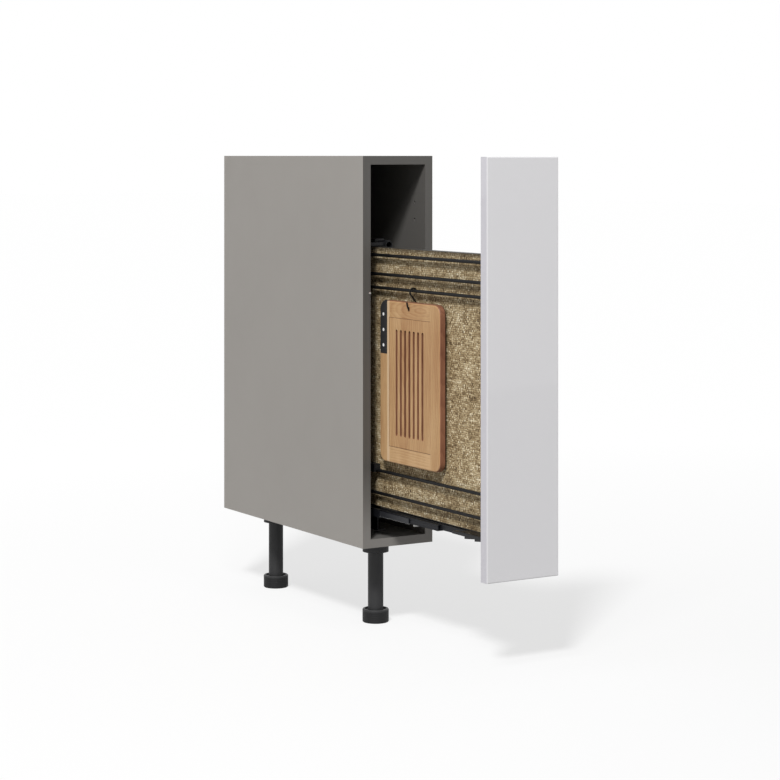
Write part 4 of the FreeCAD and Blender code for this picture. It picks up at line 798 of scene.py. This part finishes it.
# %% Beech dowels
beech, tree, sockets, place = start_finish("turned_beech", seen(205, 172, 132))
across, backward, up = split_axes(tree, place)
grain = use_group(tree, wood, Place=join_axes(tree, backward, up, across),
                  Ring_Pitch=0.003, Wander=0.004)
plug(tree, sockets["Base Color"], colour_steps(
    tree, grain["Fibres"], ((0.3, seen(212, 180, 140)), (0.7, seen(186, 148, 108)))))
plug(tree, sockets["Roughness"], spread(tree, grain["Fibres"], 0.3, 0.7, 0.5, 0.65))
bump(tree, sockets, grain["Fibres"], 0.00005, 0.5)
dress(beech, "carcass_dowels")

# %% [markdown]
# ## Knife handle
# The knife that slides into the board has black pressed scales, ground flush with the board and
# then buffed. Buffing leaves a soft gloss with faint swirls, and the edges a shade lighter.

# %% Buffed black scales
scales = handled_finish(
    "buffed_black_scales", seen(42, 42, 43), seen(64, 64, 66), skin=(0.012, 0.0004, 0.3, 0.42),
    wear=(0.001, 0.01), relief=(0.00003, 0.4))
dress(scales, "knife_handle")

# %% [markdown]
# ## Floor
# The floor is a wide pale sweep. In catalogue pictures it fades to white and keeps only a light
# shadow under the object. For the light that bounces about, this floor is an ordinary pale matt
# surface. For the camera some of that is swapped for a glow that grows with distance, so its open
# parts fade into the white background and its shadows stay soft. Polished parts mirror mostly the
# matt floor, which draws a quiet horizon across the gloss front. Light Path tells the kinds of ray
# apart.


# %% The floor and how the camera sees it
def looked_at(tree, in_gloss):
    """One for rays from the lens, also by way of glass, and as much as in_gloss by way of gloss."""
    path = tree.nodes.new("ShaderNodeLightPath")
    glossy = times(tree, path.outputs["Is Glossy Ray"], in_gloss)
    direct = calc(tree, "MAXIMUM", path.outputs["Is Camera Ray"], glossy)
    return calc(tree, "MAXIMUM", direct, path.outputs["Is Transmission Ray"])


FLOOR_HALF = 24.0
FLOOR_IN_FRONT = 4.3
floor_mesh = bpy.data.meshes.new("studio_floor")
shape = bmesh.new()
bmesh.ops.create_grid(shape, x_segments=8, y_segments=8, size=FLOOR_HALF)
bmesh.ops.translate(shape, verts=shape.verts, vec=(0, FLOOR_HALF - FLOOR_IN_FRONT, 0))
shape.to_mesh(floor_mesh)
shape.free()
floor = bpy.data.objects.new("studio_floor", floor_mesh)
bpy.context.collection.objects.link(floor)
floor_finish = bpy.data.materials.new("pale_studio_floor")
floor_finish.use_nodes = True
tree = floor_finish.node_tree
tree.nodes.clear()
matt = tree.nodes.new("ShaderNodeBsdfDiffuse")
matt.inputs["Color"].default_value = (0.56, 0.56, 0.56, 1)
kept = tree.nodes.new("ShaderNodeBsdfDiffuse")
kept.inputs["Color"].default_value = (0.26, 0.26, 0.26, 1)
spot = tree.nodes.new("ShaderNodeVectorMath")
spot.operation = "DISTANCE"
spot.inputs[1].default_value = (0.5, -1.0, 0.0)
plug(tree, spot.inputs[0], tree.nodes.new("ShaderNodeTexCoord").outputs["Object"])
glow = tree.nodes.new("ShaderNodeEmission")
glow.inputs["Strength"].default_value = 1.0
fading = spread(tree, spot.outputs["Value"], 0.2, 3.2, 0.664, 0.740)
plug(tree, glow.inputs["Color"], join_axes(tree, fading, fading, fading))
seen_floor = tree.nodes.new("ShaderNodeAddShader")
choice = tree.nodes.new("ShaderNodeMixShader")
out = tree.nodes.new("ShaderNodeOutputMaterial")
plug(tree, seen_floor.inputs[0], kept.outputs[0])
plug(tree, seen_floor.inputs[1], glow.outputs[0])
plug(tree, choice.inputs[0], looked_at(tree, 0.1))
plug(tree, choice.inputs[1], matt.outputs[0])
plug(tree, choice.inputs[2], seen_floor.outputs[0])
plug(tree, out.inputs["Surface"], choice.outputs[0])
floor.data.materials.append(floor_finish)
print("floor is", floor.dimensions.x, "m wide")

# %% [markdown]
# ## Light
# Light from a window high at the front left does most of the work: it is far away, so a sun lamp
# with a wide disc stands for it. A round softbox on the same line, but near, adds about a quarter.
# Its light falls off with distance, so the faces darken gently towards the floor. The tent round
# it all is a dim grey for lighting, and plain white where the camera or a polished surface looks
# straight at it. Together they light a face so that its colour comes out about as written.

# %% A window, a softbox and a white tent
world = bpy.data.worlds.new("white_tent")
bpy.context.scene.world = world
world.use_nodes = True
tree = world.node_tree
tent = tree.nodes["Background"]
tent.inputs["Color"].default_value = (1, 1, 1, 1)
tent.inputs["Strength"].default_value = 0.34
white = tree.nodes.new("ShaderNodeBackground")
white.inputs["Color"].default_value = (1, 1, 1, 1)
white.inputs["Strength"].default_value = 1.0
choice = tree.nodes.new("ShaderNodeMixShader")
plug(tree, choice.inputs[0], looked_at(tree, 1.0))
plug(tree, choice.inputs[1], tent.outputs[0])
plug(tree, choice.inputs[2], white.outputs[0])
plug(tree, tree.nodes["World Output"].inputs["Surface"], choice.outputs[0])

LIGHT_WAY = Vector((0.8, 0.833, -1.17)).normalized()
LIT_PLACE = Vector((0.0, -0.2, 0.62))
SOFTBOX_AWAY = 2.0
key_data = bpy.data.lights.new("window_light", "SUN")
key_data.energy = 2.85
key_data.angle = 0.15
key = bpy.data.objects.new("window_light", key_data)
bpy.context.collection.objects.link(key)
key.location = (-2.4, -2.5, 3.4)
key.rotation_euler = LIGHT_WAY.to_track_quat("-Z", "Y").to_euler()
print("light comes down at", round(math.degrees(math.asin(-LIGHT_WAY.z))), "degrees")

near_data = bpy.data.lights.new("near_softbox", "AREA")
near_data.shape = "DISK"
near_data.size = 0.45
near_data.energy = 9.7
near = bpy.data.objects.new("near_softbox", near_data)
bpy.context.collection.objects.link(near)
near.location = LIT_PLACE - LIGHT_WAY * SOFTBOX_AWAY
near.rotation_euler = key.rotation_euler
print("softbox hangs at", [round(value, 2) for value in near.location])

# %% [markdown]
# ## Finish
# The lesson closes by printing how many finishes it made.

# %% Count the finishes
print("finishes:", len(ALL_FINISHES))
